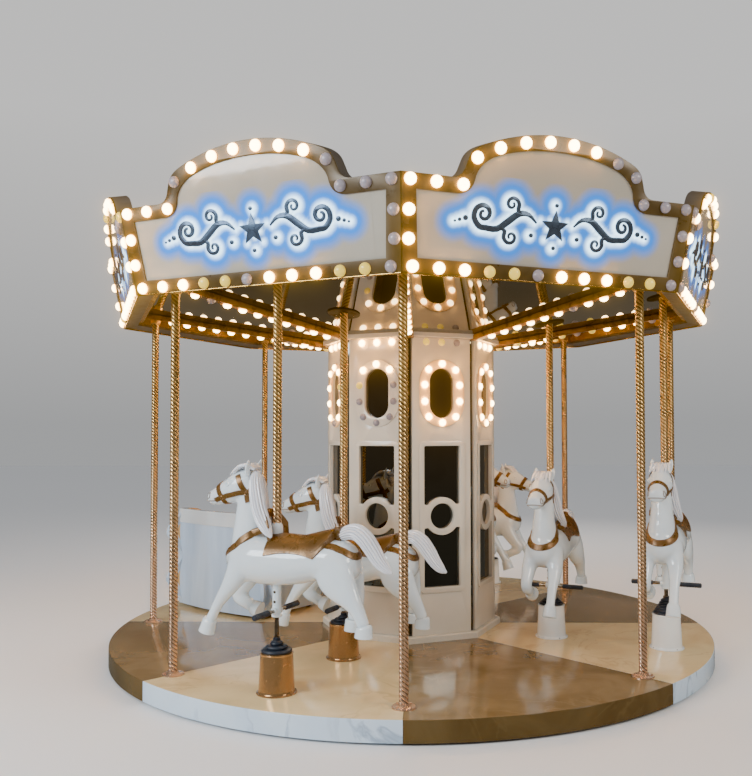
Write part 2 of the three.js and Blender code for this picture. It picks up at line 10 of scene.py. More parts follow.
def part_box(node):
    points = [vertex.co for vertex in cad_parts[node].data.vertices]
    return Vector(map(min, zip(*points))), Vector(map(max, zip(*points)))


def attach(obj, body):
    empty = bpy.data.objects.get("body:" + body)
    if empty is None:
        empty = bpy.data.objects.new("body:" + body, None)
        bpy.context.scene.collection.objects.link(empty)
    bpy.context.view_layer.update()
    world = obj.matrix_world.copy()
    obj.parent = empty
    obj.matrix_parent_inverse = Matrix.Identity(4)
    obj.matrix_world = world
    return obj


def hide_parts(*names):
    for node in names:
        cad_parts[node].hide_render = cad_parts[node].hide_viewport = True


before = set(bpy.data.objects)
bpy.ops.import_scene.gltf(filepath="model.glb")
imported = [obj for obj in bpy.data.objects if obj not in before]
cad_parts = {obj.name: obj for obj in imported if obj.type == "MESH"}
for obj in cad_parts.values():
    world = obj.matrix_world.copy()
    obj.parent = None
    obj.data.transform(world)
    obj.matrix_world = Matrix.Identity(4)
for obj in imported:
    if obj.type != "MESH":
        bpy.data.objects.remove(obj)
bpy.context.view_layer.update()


# Camera: held at standing eye height six metres from the axis. The photograph is cropped off its own
# centre, so the lens is shifted a little. Angles are in degrees.
CAMERA_PLACE = (0.121, -5.929, 1.456)
CAMERA_TILT, CAMERA_PAN, CAMERA_ROLL = 91.843, 1.299, -0.115
CAMERA_LENS = 38.91
CAMERA_SHIFT = (-0.0425, 0.0215)


def turned(degrees, axis="Z"):
    return Matrix.Rotation(math.radians(degrees), 4, axis)


def moved(x, y, z):
    return Matrix.Translation((x, y, z))


camera_data = bpy.data.cameras.new("camera")
camera_data.lens = CAMERA_LENS
camera_data.shift_x, camera_data.shift_y = CAMERA_SHIFT
camera = bpy.data.objects.new("camera", camera_data)
camera.matrix_world = (moved(*CAMERA_PLACE) @ turned(CAMERA_PAN) @ turned(CAMERA_TILT, "X")
                       @ turned(CAMERA_ROLL))
bpy.context.collection.objects.link(camera)
bpy.context.scene.camera = camera


# Studio: a pale floor and sky, a broad cool light from the front left and weaker warm ones from the right
# and the rear. Gloss and mirrors see a dim room with the front lights in it, as the real mirrors stand in
# a dim hall. The lens blooms a little round the lamps.
FLOOR_HALF = 30.0
FLOOR_LEVEL = -0.001
HORIZON = (0.515, 0.525, 0.535, 1)
SKY = (0.95, 0.945, 0.94, 1)
DAYLIGHT = (0.62, 0.645, 0.68, 1)
HALL_LOW, HALL_HIGH = (0.17, 0.155, 0.13, 1), (0.09, 0.085, 0.08, 1)
COOL_LIGHT, WARM_LIGHT = (0.86, 0.93, 1.0), (1.0, 0.93, 0.84)


def join(value, socket):
    """A node's input set to a value, or linked to the socket that feeds it."""
    if isinstance(value, bpy.types.NodeSocket):
        socket.id_data.links.new(value, socket)
    else:
        socket.default_value = value


def feed(node, **inputs):
    """A node with its inputs joined by name."""
    for label, value in inputs.items():
        join(value, node.inputs[label.replace("_", " ")])
    return node


def shader(tree, kind, settings=None, **inputs):
    """A new shader node with its settings, and its inputs by name."""
    made = tree.nodes.new("ShaderNode" + kind)
    for label, value in (settings or {}).items():
        setattr(made, label, value)
    return feed(made, **inputs)


def mixed(tree, share, first, second):
    """The colour between two colours."""
    made = shader(tree, "Mix", {"data_type": "RGBA"})
    for value, socket in ((share, made.inputs[0]), (first, made.inputs[6]), (second, made.inputs[7])):
        join(value, socket)
    return made.outputs[2]


def ranged(tree, value, low, high, to_low, to_high):
    """A value that runs from to_low to to_high while the first runs from low to high."""
    made = shader(tree, "MapRange")
    for entry, socket in zip((value, low, high, to_low, to_high), made.inputs):
        join(entry, socket)
    return made.outputs[0]


def new_finish(name):
    """A new material, with its node tree and its surface shader."""
    material = bpy.data.materials.new(name)
    material.use_nodes = True
    return material, material.node_tree, material.node_tree.nodes["Principled BSDF"]


world = bpy.data.worlds.new("studio")
world.use_nodes = True
tree = world.node_tree
ray = shader(tree, "LightPath").outputs
height = shader(tree, "SeparateXYZ", Vector=shader(tree, "TexCoord").outputs["Generated"]).outputs["Z"]
hall = mixed(tree, ranged(tree, height, 0.0, 0.5, 0.0, 1.0), HALL_LOW, HALL_HIGH)
surroundings = mixed(tree, ray["Is Glossy Ray"], DAYLIGHT, hall)
backdrop = mixed(tree, ranged(tree, height, 0.01, 0.34, 0.0, 1.0), HORIZON, SKY)
feed(tree.nodes["Background"], Color=mixed(tree, ray["Is Camera Ray"], surroundings, backdrop))
bpy.context.scene.world = world

floor_material, tree, skin = new_finish("studio_floor")
floor_grain = shader(tree, "TexNoise", Scale=3.0, Detail=4.0).outputs["Fac"]
floor_colour = mixed(tree, floor_grain, (0.88, 0.87, 0.86, 1), (0.91, 0.90, 0.89, 1))
feed(skin, Base_Color=floor_colour, Roughness=0.7)
floor_mesh = bpy.data.meshes.new("studio_floor")
floor_corners = [(x * FLOOR_HALF, y * FLOOR_HALF, FLOOR_LEVEL)
                 for x, y in ((-1, -1), (1, -1), (1, 1), (-1, 1))]
floor_mesh.from_pydata(floor_corners, [], [(0, 1, 2, 3)])
floor_mesh.materials.append(floor_material)
floor = bpy.data.objects.new("studio_floor", floor_mesh)
floor.visible_glossy = False
bpy.context.collection.objects.link(floor)


def soft_light(name, place, target, size, power, colour):
    data = bpy.data.lights.new(name, "AREA")
    data.shape = "RECTANGLE"
    data.size, data.size_y = size
    data.energy = power
    data.color = colour
    light = bpy.data.objects.new(name, data)
    light.location = place
    light.rotation_euler = (Vector(target) - Vector(place)).to_track_quat("-Z", "Y").to_euler()
    bpy.context.collection.objects.link(light)
    return light


soft_light("window_light", (-4.6, -4.9, 3.6), (0, 0, 0.9), (3.0, 2.2), 400, COOL_LIGHT)
soft_light("room_light", (5.0, -4.2, 4.0), (0, 0, 0.9), (2.5, 1.5), 170, WARM_LIGHT)
rear_light = soft_light("rear_light", (1.5, 6.5, 4.4), (0, 0, 1.0), (4.0, 2.0), 150, WARM_LIGHT)
rear_light.visible_glossy = False

scene = bpy.context.scene
scene.view_settings.look = "AgX - Punchy"
scene.view_settings.exposure = 0.38
scene.use_nodes = True
lens = scene.node_tree
for node in list(lens.nodes):
    lens.nodes.remove(node)
picture = lens.nodes.new("CompositorNodeRLayers")
bloom = lens.nodes.new("CompositorNodeGlare")
bloom.glare_type = "BLOOM"
feed(bloom, Image=picture.outputs["Image"], Threshold=3.0, Strength=0.26, Size=0.35, Saturation=1.6)
feed(lens.nodes.new("CompositorNodeComposite"), Image=bloom.outputs["Image"])


# Deck: eight wedges of polished board in cream marble and brown, seams on the corner lines, each with its
# share of the hanging skirt. The sheets are faced with glossy marble film, blue-white on the cream wedges'
# rims.
SIDES = 8
STEP = 360 / SIDES
HALF_STEP = math.radians(STEP / 2)
FLAT = math.cos(HALF_STEP)
SKIRT_LOW, DECK_TOP = (corner.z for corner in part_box("deck_sector_1"))
DECK_RADIUS = 2.0
DECK_EYE_RADIUS = 0.25
DECK_THICKNESS = 0.035
DECK_ARC_STEPS = 40
SKIRT_THICKNESS = 0.03
DECK_EDGE = 0.003
SEAM = 0.0012


def shade(red, green, blue):
    """A colour as a screen shows it, from 0 to 255, as the renderer's own linear values."""
    def linear(value):
        value /= 255
        return value / 12.92 if value <= 0.04045 else ((value + 0.055) / 1.055) ** 2.4
    return (linear(red), linear(green), linear(blue), 1)


def group(name, inputs, outputs):
    """A node group with named inputs, each a kind and a value, and named outputs."""
    made = bpy.data.node_groups.new(name, "ShaderNodeTree")
    for label, kind, value in inputs:
        socket = made.interface.new_socket(label, in_out="INPUT", socket_type="NodeSocket" + kind)
        socket.default_value = value
    for label, kind in outputs:
        made.interface.new_socket(label, in_out="OUTPUT", socket_type="NodeSocket" + kind)
    return made, made.nodes.new("NodeGroupInput").outputs, made.nodes.new("NodeGroupOutput")


def sums(tree, kind, first, second=0.0):
    """One number worked out from two."""
    made = shader(tree, "Math", {"operation": kind})
    join(first, made.inputs[0])
    join(second, made.inputs[1])
    return made.outputs[0]


def product(tree, *factors):
    result = factors[0]
    for factor in factors[1:]:
        result = sums(tree, "MULTIPLY", result, factor)
    return result


def placed(tree):
    """The place on the surface, in the piece's own metres."""
    return shader(tree, "TexCoord").outputs["Object"]


def noise(tree, where, scale, detail=3.0, distortion=0.0):
    made = shader(tree, "TexNoise", Vector=where, Scale=scale, Detail=detail, Distortion=distortion)
    return made.outputs["Fac"]


def relief(tree, height, strength, distance):
    return shader(tree, "Bump", Strength=strength, Distance=distance, Height=height).outputs["Normal"]


FILM_OUTPUTS = [("Color", "Color"), ("Roughness", "Float"), ("Height", "Float")]

marble, given, out = group(
    "marble_film",
    [("Ground", "Color", (1, 1, 1, 1)), ("Cloud", "Color", (1, 1, 1, 1)), ("Vein", "Color", (0, 0, 0, 1)),
     ("Scale", "Float", 2.0), ("Vein strength", "Float", 0.5)],
    FILM_OUTPUTS)
where = placed(marble)
cloud = ranged(marble, noise(marble, where, given["Scale"], 5.0, 0.6), 0.38, 0.66, 0.0, 1.0)
line = noise(marble, where, product(marble, given["Scale"], 0.8), 6.0, 1.6)
line = sums(marble, "ABSOLUTE", sums(marble, "SUBTRACT", line, 0.5))
vein = ranged(marble, line, 0.0, 0.022, 1.0, 0.0)
patches = ranged(marble, noise(marble, where, given["Scale"], 1.0), 0.45, 0.62, 0.0, 1.0)
vein = product(marble, vein, patches, given["Vein strength"])
ground = mixed(marble, cloud, given["Ground"], given["Cloud"])
scuffs = noise(marble, where, 14.0, 4.0)
feed(out, Color=mixed(marble, vein, ground, given["Vein"]),
     Roughness=ranged(marble, scuffs, 0.35, 0.75, 0.10, 0.22), Height=noise(marble, where, 5.0, 1.0))


def filmed(name, effect, ripple, depth, film_values, **skin_values):
    """A material whose colour, roughness and relief come from a shared effect with values of its own."""
    material, tree, skin = new_finish(name)
    film = feed(shader(tree, "Group", {"node_tree": effect}), **film_values).outputs
    feed(skin, Base_Color=film["Color"], Roughness=film["Roughness"],
         Normal=relief(tree, film["Height"], ripple, depth), **skin_values)
    return material


def marble_finish(name, ground, cloud, vein, scale, vein_strength):
    values = {"Ground": ground, "Cloud": cloud, "Vein": vein, "Scale": scale, "Vein strength": vein_strength}
    return filmed(name, marble, 0.15, 0.002, values, Coat_Weight=0.4, Coat_Roughness=0.10)


cream_top = marble_finish("cream_marble", shade(236, 211, 160), shade(219, 190, 138), shade(190, 160, 112),
                          2.2, 0.5)
cream_rim = marble_finish("blue_white_marble", shade(222, 236, 246), shade(205, 222, 238),
                          shade(150, 168, 188), 1.7, 0.8)
brown_top = marble_finish("brown_marble", shade(142, 119, 82), shade(120, 97, 60), shade(162, 138, 100),
                          3.0, 0.3)
brown_rim = marble_finish("dark_brown_marble", shade(104, 84, 52), shade(82, 64, 36), shade(124, 102, 66),
                          2.4, 0.25)


def build(name, parts, materials, soft_angle=35, marks=None):
    """One mesh from parts: points, faces and a material's number. Marks are named values for each point."""
    points, faces, numbers = [], [], []
    for part_points, part_faces, number in parts:
        start = len(points)
        points.extend([tuple(point) for point in part_points])
        faces.extend([[start + corner for corner in face] for face in part_faces])
        numbers.extend([number] * len(part_faces))
    mesh = bpy.data.meshes.new(name)
    mesh.from_pydata(points, [], faces)
    for material in materials:
        mesh.materials.append(material)
    mesh.polygons.foreach_set("material_index", numbers)
    for label, values in (marks or {}).items():
        mesh.attributes.new(label, "FLOAT", "POINT").data.foreach_set("value", values)
    welded = bmesh.new()
    welded.from_mesh(mesh)
    bmesh.ops.remove_doubles(welded, verts=welded.verts, dist=1e-6)
    bmesh.ops.recalc_face_normals(welded, faces=welded.faces)
    welded.to_mesh(mesh)
    welded.free()
    mesh.shade_smooth()
    mesh.set_sharp_from_angle(angle=math.radians(soft_angle))
    return mesh


def stand(name, mesh, body, nodes=(), place=None):
    """A piece of the carousel, standing where it belongs, which rides on a body and may replace CAD nodes."""
    piece = bpy.data.objects.new(name, mesh)
    if place is not None:
        piece.matrix_world = place
    bpy.context.collection.objects.link(piece)
    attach(piece, body)
    if nodes:
        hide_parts(*nodes)
    return piece


def ring_faces(rows, columns, around, wrap=False):
    """The faces of a grid of rows of points, its columns and perhaps its rows closed into rings."""
    faces = []
    for row in range(rows if wrap else rows - 1):
        below, above = row * columns, (row + 1) % rows * columns
        for column in range(columns if around else columns - 1):
            beside = (column + 1) % columns
            faces.append((below + column, below + beside, above + beside, above + column))
    return faces


def end_faces(rows, columns):
    """The flat faces over the first and the last ring of such a grid."""
    return [tuple(range(columns)), tuple(range((rows - 1) * columns, rows * columns))]


def deck_wedge(azimuth):
    """A wedge's closed profile turned through its sector, with flat ends at the seams."""
    edge = [(DECK_RADIUS - DECK_EDGE * (1 - math.sin(a)), DECK_TOP - DECK_EDGE * (1 - math.cos(a)))
            for a in np.linspace(0, math.pi / 2, 4)]
    inner_skirt = DECK_RADIUS - SKIRT_THICKNESS
    profile = [(DECK_EYE_RADIUS, DECK_TOP), *edge, (DECK_RADIUS, SKIRT_LOW), (inner_skirt, SKIRT_LOW),
               (inner_skirt, DECK_TOP - DECK_THICKNESS), (DECK_EYE_RADIUS, DECK_TOP - DECK_THICKNESS)]
    points = []
    for i in range(DECK_ARC_STEPS + 1):
        for radius, height in profile:
            half = HALF_STEP - math.asin(SEAM / 2 / radius)
            angle = math.radians(azimuth) + half * (2 * i / DECK_ARC_STEPS - 1)
            points.append((radius * math.sin(angle), -radius * math.cos(angle), height))
    columns = len(profile)
    sides = ring_faces(DECK_ARC_STEPS + 1, columns, True)
    top = [face for i, face in enumerate(sides) if i % columns == 0]
    rest = [face for i, face in enumerate(sides) if i % columns]
    return points, top, rest + end_faces(DECK_ARC_STEPS + 1, columns)


DECK_FINISHES = ((brown_top, brown_rim, "brown_deck"), (cream_top, cream_rim, "cream_deck"))
for k in range(SIDES):
    points, top, rest = deck_wedge(STEP * (k + 0.5))
    top_finish, rim_finish, slot = DECK_FINISHES[k % 2]
    mesh = build(f"deck_wedge_{k + 1}", [(points, top, 0), (points, rest, 1)], [top_finish, rim_finish], 30)
    stand(f"deck_wedge_{k + 1}", mesh, "carousel", [f"deck_sector_{k + 1}"])


# Base and roof: a black steel base under the deck and a plain painted roof behind the boards, in their
# frame shapes. Their paint, like that of the moulded and lacquered pieces below, drifts a little in
# colour, has faint hand marks in its gloss, and lies in long soft ripples.
CHIPPED = (0.62, 0.58, 0.52, 1)

gloss_paint, given, out = group(
    "gloss_paint",
    [("Color", "Color", (1, 1, 1, 1)), ("Shade", "Color", (0.9, 0.9, 0.9, 1)), ("Scale", "Float", 4.0),
     ("Smooth", "Float", 0.1), ("Dull", "Float", 0.3), ("Wear", "Float", 0.3)],
    FILM_OUTPUTS)
where = placed(gloss_paint)
drift = ranged(gloss_paint, noise(gloss_paint, where, given["Scale"], 4.0), 0.35, 0.68, 0.0, 1.0)
edges = ranged(gloss_paint, shader(gloss_paint, "NewGeometry").outputs["Pointiness"], 0.52, 0.60, 0.0, 1.0)
chips = ranged(gloss_paint, noise(gloss_paint, where, 60.0, 4.0), 0.45, 0.6, 0.0, 1.0)
worn = product(gloss_paint, edges, chips, given["Wear"])
coat_colour = mixed(gloss_paint, drift, given["Color"], given["Shade"])
hand_marks = ranged(gloss_paint, noise(gloss_paint, where, 22.0, 5.0, 0.8), 0.42, 0.72, 0.0, 1.0)
span = sums(gloss_paint, "SUBTRACT", given["Dull"], given["Smooth"])
feed(out, Color=mixed(gloss_paint, worn, coat_colour, CHIPPED),
     Roughness=sums(gloss_paint, "ADD", given["Smooth"], product(gloss_paint, hand_marks, span)),
     Height=noise(gloss_paint, where, 9.0, 2.0))


def painted(name, colour, shadow, scale, smooth, dull, wear, metal=0.0, coat=0.0, ripple=0.12):
    values = {"Color": colour, "Shade": shadow, "Scale": scale, "Smooth": smooth, "Dull": dull, "Wear": wear}
    return filmed(name, gloss_paint, ripple, 0.004, values, Metallic=metal, Coat_Weight=coat,
                  Coat_Roughness=0.05)


def eased(piece, width, segments=3, least_turn=30):
    """Rounded edges, where a piece's faces turn by more than so many degrees."""
    rounding = piece.modifiers.new("eased_edges", "BEVEL")
    rounding.width = width
    rounding.segments = segments
    rounding.limit_method = "ANGLE"
    rounding.angle_limit = math.radians(least_turn)
    rounding.harden_normals = True


def dress(node, material, edge=0.0):
    """A node of the frame that keeps its shape: its material, and eased edges where a width is given."""
    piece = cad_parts[node]
    piece.data.materials.clear()
    piece.data.materials.append(material)
    if edge:
        eased(piece, edge)


base_steel = painted("base_steel_paint", shade(58, 58, 60), shade(42, 42, 44), 6.0, 0.35, 0.6, 0.6)
roof_paint = painted("roof_paint", shade(196, 192, 184), shade(176, 172, 162), 2.0, 0.35, 0.55, 0.2)
dress("turntable_base", base_steel)
dress("roof", roof_paint)


# Rim poles: eight brass tubes pressed into a five-start rope twist, each screwed to the deck by a round
# flange over a seam, with a cap where it meets the rib above.
POLE_RADIUS = 0.0245
POLE_CIRCLE = 1.823
POLE_LOW, POLE_HIGH = (corner.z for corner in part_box("rim_pole_1"))
TWIST_STARTS = 5
TWIST_LEAD = 0.110
TWIST_DEPTH = 0.0034
TWIST_COLUMNS = 6 * TWIST_STARTS
TWIST_STEP = 0.0095
FLANGE_RADIUS = 0.060
FLANGE_BOLT_CIRCLE = 0.047
CAP_RADIUS = 0.034
CAP_DEPTH = 0.030
FOUR_CORNERS = (45, 135, 225, 315)


def rope(radius, low, high):
    """A tube with spiral ridges that its columns of faces follow, and how deep each point lies."""
    rings = math.ceil((high - low) / TWIST_STEP) + 1
    phase = 2 * math.pi * np.arange(TWIST_COLUMNS) / TWIST_COLUMNS
    ridge = np.abs(np.sin(phase * TWIST_STARTS / 2))
    reach = radius - TWIST_DEPTH * (1 - ridge)
    height = np.linspace(low, high, rings)[:, None]
    angle = phase - 2 * math.pi * height / TWIST_LEAD
    points = np.stack([reach * np.cos(angle), reach * np.sin(angle), height + 0 * angle], axis=2)
    return points.reshape(-1, 3), ring_faces(rings, TWIST_COLUMNS, True), list(np.tile(1 - ridge, rings))


def revolved(profile, sides, place=None):
    """A profile of radius and height turned about the Z axis. It starts and ends on the axis, or closes."""
    angles = 2 * math.pi * np.arange(sides) / sides
    points = [Vector((radius * math.cos(a), radius * math.sin(a), height)) for radius, height in profile
              for a in angles]
    closes = profile[0][0] > 0 and profile[-1][0] > 0
    if place is not None:
        points = [place @ point for point in points]
    return points, ring_faces(len(profile), sides, True, closes)


def hex_bolt(place, radius, height, number):
    """A bolt head with a rounded crown on a washer, as parts with the number of their material."""
    washer = [(0, 0), (radius * 1.5, 0), (radius * 1.5, 0.0012), (radius * 1.3, 0.0016), (0, 0.0016)]
    head = [(0, 0.001), (radius, 0.001), (radius, height * 0.8), (radius * 0.8, height), (0, height)]
    return [(*revolved(washer, 16, place), number), (*revolved(head, 6, place), number)]


def bolt_ring(azimuths, circle, level, radius, height, number, tilt=0):
    """Bolts on a circle about the Z axis."""
    spots = [turned(azimuth) @ moved(circle, 0, level) @ turned(tilt, "X") for azimuth in azimuths]
    return [part for spot in spots for part in hex_bolt(spot, radius, height, number)]


def marked_first(values, parts):
    """Marks for the points of the first part, and none for those of the rest."""
    return values + [0.0] * sum(len(part[0]) for part in parts[1:])


brass, tree, skin = new_finish("twisted_brass")
where = placed(tree)
height = shader(tree, "SeparateXYZ", Vector=where).outputs["Z"]
# Painted reflection and lamplight: the brass is rosy low down and yellow-gold high up, under the lamps.
painted_reflection_share = ranged(tree, height, 0.3, 1.7, 0.0, 1.0)
brass_colour = mixed(tree, painted_reflection_share, shade(244, 206, 176), shade(246, 204, 128))
tarnish = ranged(tree, noise(tree, where, 7.0, 5.0), 0.4, 0.7, 0.0, 0.35)
brass_colour = mixed(tree, tarnish, brass_colour, shade(214, 164, 112))
# Painted shade: the brass is darkened in the twist's valleys, where shade falls.
valley = shader(tree, "Attribute", {"attribute_name": "valley"}).outputs["Fac"]
painted_valley_shade = ranged(tree, valley, 0.30, 0.85, 0.0, 1.0)
brass_colour = mixed(tree, painted_valley_shade, brass_colour, shade(112, 72, 40))
feed(skin, Base_Color=brass_colour, Metallic=0.85,
     Roughness=ranged(tree, noise(tree, where, 9.0, 4.0), 0.3, 0.7, 0.24, 0.32),
     Normal=relief(tree, noise(tree, where, 60.0, 2.0), 0.05, 0.0005))


def rim_pole():
    tube, tube_faces, valleys = rope(POLE_RADIUS, POLE_LOW + 0.004, POLE_HIGH - 0.012)
    foot = [(0, 0), (FLANGE_RADIUS, 0), (FLANGE_RADIUS, 0.005), (FLANGE_RADIUS - 0.003, 0.008),
            (0.036, 0.009), (0.030, 0.014), (0.029, 0.022), (0, 0.022)]
    flange = revolved([(radius, POLE_LOW + height) for radius, height in foot], 48)
    top = POLE_HIGH - 0.0045
    cap = revolved([(0, top - CAP_DEPTH), (0.028, top - CAP_DEPTH), (CAP_RADIUS, top - 0.024),
                    (CAP_RADIUS, top - 0.003), (0.031, top), (0, top)], 40)
    parts = [(tube, tube_faces, 0), (*flange, 0), (*cap, 0)]
    parts += bolt_ring(FOUR_CORNERS, FLANGE_BOLT_CIRCLE, POLE_LOW + 0.0085, 0.006, 0.005, 0)
    return build("rim_pole", parts, [brass], 40, {"valley": marked_first(valleys, parts)})


pole_mesh = rim_pole()
for k in range(SIDES):
    spot = turned(k * STEP) @ moved(0, -POLE_CIRCLE, 0)
    stand(f"twisted_pole_{k + 1}", pole_mesh, "carousel", [f"rim_pole_{k + 1}"], spot)


# Column core and ceiling: dark mirror sheets, seen through the panels' windows, between the panels and
# over the horses. They keep their frame shapes, which are flat, and carry faint smears of polish.
mirror, tree, skin = new_finish("dark_mirror")
smear = ranged(tree, noise(tree, placed(tree), 3.5, 6.0, 1.2), 0.45, 0.75, 0.0, 1.0)
feed(skin, Base_Color=mixed(tree, smear, (0.150, 0.155, 0.150, 1), (0.122, 0.127, 0.122, 1)), Metallic=1.0,
     Roughness=ranged(tree, smear, 0.0, 1.0, 0.015, 0.06))
dress("column_core", mirror)
dress("ceiling", mirror)


# Lamps: frosted plastic half-globes with a warm filament lamp in each, pressed into round holes. Most are
# lit, and as in the photograph a few are dim or out. What they cast is a deeper orange than what is seen
# of them.
GLOW_OF = {"l": 1.0, "d": 0.04, "o": 0.0}
LAMP_SINK, LAMP_RIM = 0.003, 0.002
DOME_RINGS = 5
DOME_SIDES = 16
LAMP_STRENGTH = 22.0
CAST_LIGHT = (3.0, 1.45, 0.36, 1)
LIT_RIM, LIT_CROWN, DIM_GLOW = (1.0, 0.50, 0.15, 1), (1.0, 0.74, 0.42, 1), (1.0, 0.70, 0.10, 1)
BLACK = (0, 0, 0, 1)

lamp_glass, tree, skin = new_finish("lamp_globe")
where = placed(tree)
glow = shader(tree, "Attribute", {"attribute_name": "glow"}).outputs["Fac"]
crown = shader(tree, "Attribute", {"attribute_name": "crown"}).outputs["Fac"]
light = mixed(tree, ranged(tree, crown, 0.05, 0.45, 0.0, 1.0), LIT_RIM, LIT_CROWN)
light = mixed(tree, ranged(tree, glow, 0.1, 0.7, 0.0, 1.0), DIM_GLOW, light)
ray = shader(tree, "LightPath").outputs
seen = sums(tree, "MAXIMUM", ray["Is Camera Ray"], ray["Is Glossy Ray"])
light = mixed(tree, glow, BLACK, mixed(tree, seen, CAST_LIGHT, light))
frost = mixed(tree, noise(tree, where, 40.0, 3.0), shade(172, 164, 170), shade(150, 142, 150))
frost = mixed(tree, ranged(tree, glow, 0.0, 0.04, 0.0, 1.0), frost, shade(216, 190, 84))
feed(skin, Base_Color=frost, Emission_Color=light, Emission_Strength=LAMP_STRENGTH, Coat_Weight=0.3,
     Roughness=ranged(tree, noise(tree, where, 90.0, 3.0), 0.3, 0.7, 0.22, 0.36))


def lamps(name, places, glows, size):
    """A mesh of like lamps, each at a place with its Z axis outward, and how brightly each glows."""
    radius, height = size
    lift = [math.pi / 2 * i / DOME_RINGS for i in range(1, DOME_RINGS + 1)]
    dome = [(radius * math.cos(a), LAMP_RIM + height * math.sin(a)) for a in lift]
    profile = [(0, -LAMP_SINK), (radius, -LAMP_SINK), (radius, LAMP_RIM), *dome[:-1], (0, dome[-1][1])]
    crowns = list(np.repeat([0, 0, 0] + [math.sin(a) for a in lift], DOME_SIDES))
    shapes = [revolved(profile, DOME_SIDES, place) for place in places]
    marks = {"glow": [glow for glow in glows for _ in crowns], "crown": crowns * len(places)}
    mesh = build(name, [(*shape, 0) for shape in shapes], [lamp_glass], 60, marks)
    return stand(name, mesh, "carousel")


# Column panels: white lacquered sheets over the mirrors, each with a raised frame round a tall window, a
# ring across the window and a raised oval with ten lamps. They stand on a white plinth and are pinned at
# the corners.
PANEL_WIDTH = 0.406
PANEL_LOW, PANEL_TOP = (corner.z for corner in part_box("column_panel_1"))
PANEL_THICKNESS = 0.018
PANEL_BACK = 0.5297
PANEL_CORNER, PANEL_EDGE = 0.004, 0.0015
RAISED, RAISED_EDGE = 0.009, 0.003
FRAME_LOW, FRAME_HIGH = 0.426, 1.397
FRAME_HALF, FRAME_BORDER, FRAME_CHAMFER = 0.158, 0.033, 0.024
WINDOW_ROUND = 0.010
WEB_FILLET = 0.008
RING_HEIGHT, RING_INNER, RING_OUTER, WEB_HALF = 0.913, 0.082, 0.121, 0.074
OVAL_HEIGHT, OVAL_HALF, OVAL_REACH = 1.704, 0.085, 0.160
OVAL_PLATE_HALF, OVAL_PLATE_REACH = 0.158, 0.218
OVAL_LAMPS = [(0, 0.190), (0.095, 0.152), (0.122, 0.053), (0.122, -0.053), (0.095, -0.152), (0, -0.190),
              (-0.095, -0.152), (-0.122, -0.053), (-0.122, 0.053), (-0.095, 0.152)]
HEAD_LAMPS = [(-0.108, 2.034), (0, 2.034), (0.108, 2.034)]
PANEL_LAMP_SIZE = (0.0225, 0.017)
PANEL_GLOWS = {8: "lloooooodllll", 1: "llllllllllddo", 2: "lllllllllllll", 7: "lldllolllllll"}
DARK_OVAL = 8

white_lacquer = painted("white_lacquer", shade(234, 225, 208), shade(222, 212, 193), 1.6, 0.09, 0.2, 0.25)
# Painted lamplight: the raised ovals round lit lamps are painted warm cream and glow faintly orange, for the
# lamps' light on them.
lamplight_oval = painted("lamplit_lacquer", shade(240, 210, 168), shade(232, 196, 148), 1.6, 0.09, 0.2, 0.1)
feed(lamplight_oval.node_tree.nodes["Principled BSDF"], Emission_Color=(1.0, 0.50, 0.18, 1),
     Emission_Strength=0.22)


def arc(centre, radius, start, end, steps):
    """Points on an arc, its angles in degrees."""
    return [(centre[0] + radius * math.cos(math.radians(a)), centre[1] + radius * math.sin(math.radians(a)))
            for a in np.linspace(start, end, steps)]


def rounded_box(left, low, right, high, radius, steps=5):
    corners = [((right - radius, high - radius), 0), ((left + radius, high - radius), 90),
               ((left + radius, low + radius), 180), ((right - radius, low + radius), 270)]
    return [point for centre, start in corners for point in arc(centre, radius, start, start + 90, steps)]


def stadium(height, half, reach, steps=24):
    lift = reach - half
    return arc((0, height + lift), half, 0, 180, steps) + arc((0, height - lift), half, 180, 360, steps)


def half_window(side):
    """The window above the ring (side 1) or under it (side -1), its sill running up over the ring's edge."""
    half = FRAME_HALF - FRAME_BORDER
    far = side * ((FRAME_HIGH if side > 0 else FRAME_LOW) - RING_HEIGHT) - FRAME_BORDER
    out = math.sqrt((RING_OUTER + WEB_FILLET) ** 2 - (WEB_HALF + WEB_FILLET) ** 2)
    up = WEB_HALF + WEB_FILLET
    lean = math.degrees(math.atan2(up, out))
    corners = rounded_box(-half, WEB_HALF, half, far, WINDOW_ROUND)
    before_sill = 3 * len(corners) // 4
    path = corners[:before_sill] + arc((-out, up), WEB_FILLET, 270, 360 - lean, 5)
    path += arc((0, 0), RING_OUTER, 180 - lean, lean, 19)[1:-1]
    path += arc((out, up), WEB_FILLET, 180 + lean, 270, 5) + corners[before_sill:]
    return [(x, RING_HEIGHT + side * z) for x, z in path][::side]


def taken_from(holder):
    """The points and faces of a helper object as its curve or modifiers make it. The helper is deleted."""
    bpy.context.collection.objects.link(holder)
    made = bpy.data.meshes.new_from_object(holder.evaluated_get(bpy.context.evaluated_depsgraph_get()))
    points = [vertex.co.copy() for vertex in made.vertices]
    faces = [tuple(polygon.vertices) for polygon in made.polygons]
    bpy.data.objects.remove(holder)
    bpy.data.meshes.remove(made)
    return points, faces


def cut_sheet(outline, holes, low, high, bevel):
    """A sheet cut to an outline, with holes and eased edges, lying between two heights."""
    curve = bpy.data.curves.new("cut", "CURVE")
    curve.dimensions = "2D"
    curve.fill_mode = "BOTH"
    curve.extrude = (high - low) / 2 - bevel
    curve.bevel_depth = bevel
    curve.bevel_resolution = 1
    curve.offset = -bevel
    for path in (outline, *holes):
        edge = curve.splines.new("POLY")
        edge.points.add(len(path) - 1)
        for point, (x, y) in zip(edge.points, path):
            point.co = (x, y, 0, 1)
        edge.use_cyclic_u = True
    points, faces = taken_from(bpy.data.objects.new("cut", curve))
    return [point + Vector((0, 0, (low + high) / 2)) for point in points], faces


def on_panel(points):
    """From a panel's own x, height and distance from its back to the front face of the column."""
    return [(x, -(PANEL_BACK + out), z) for x, z, out in points]


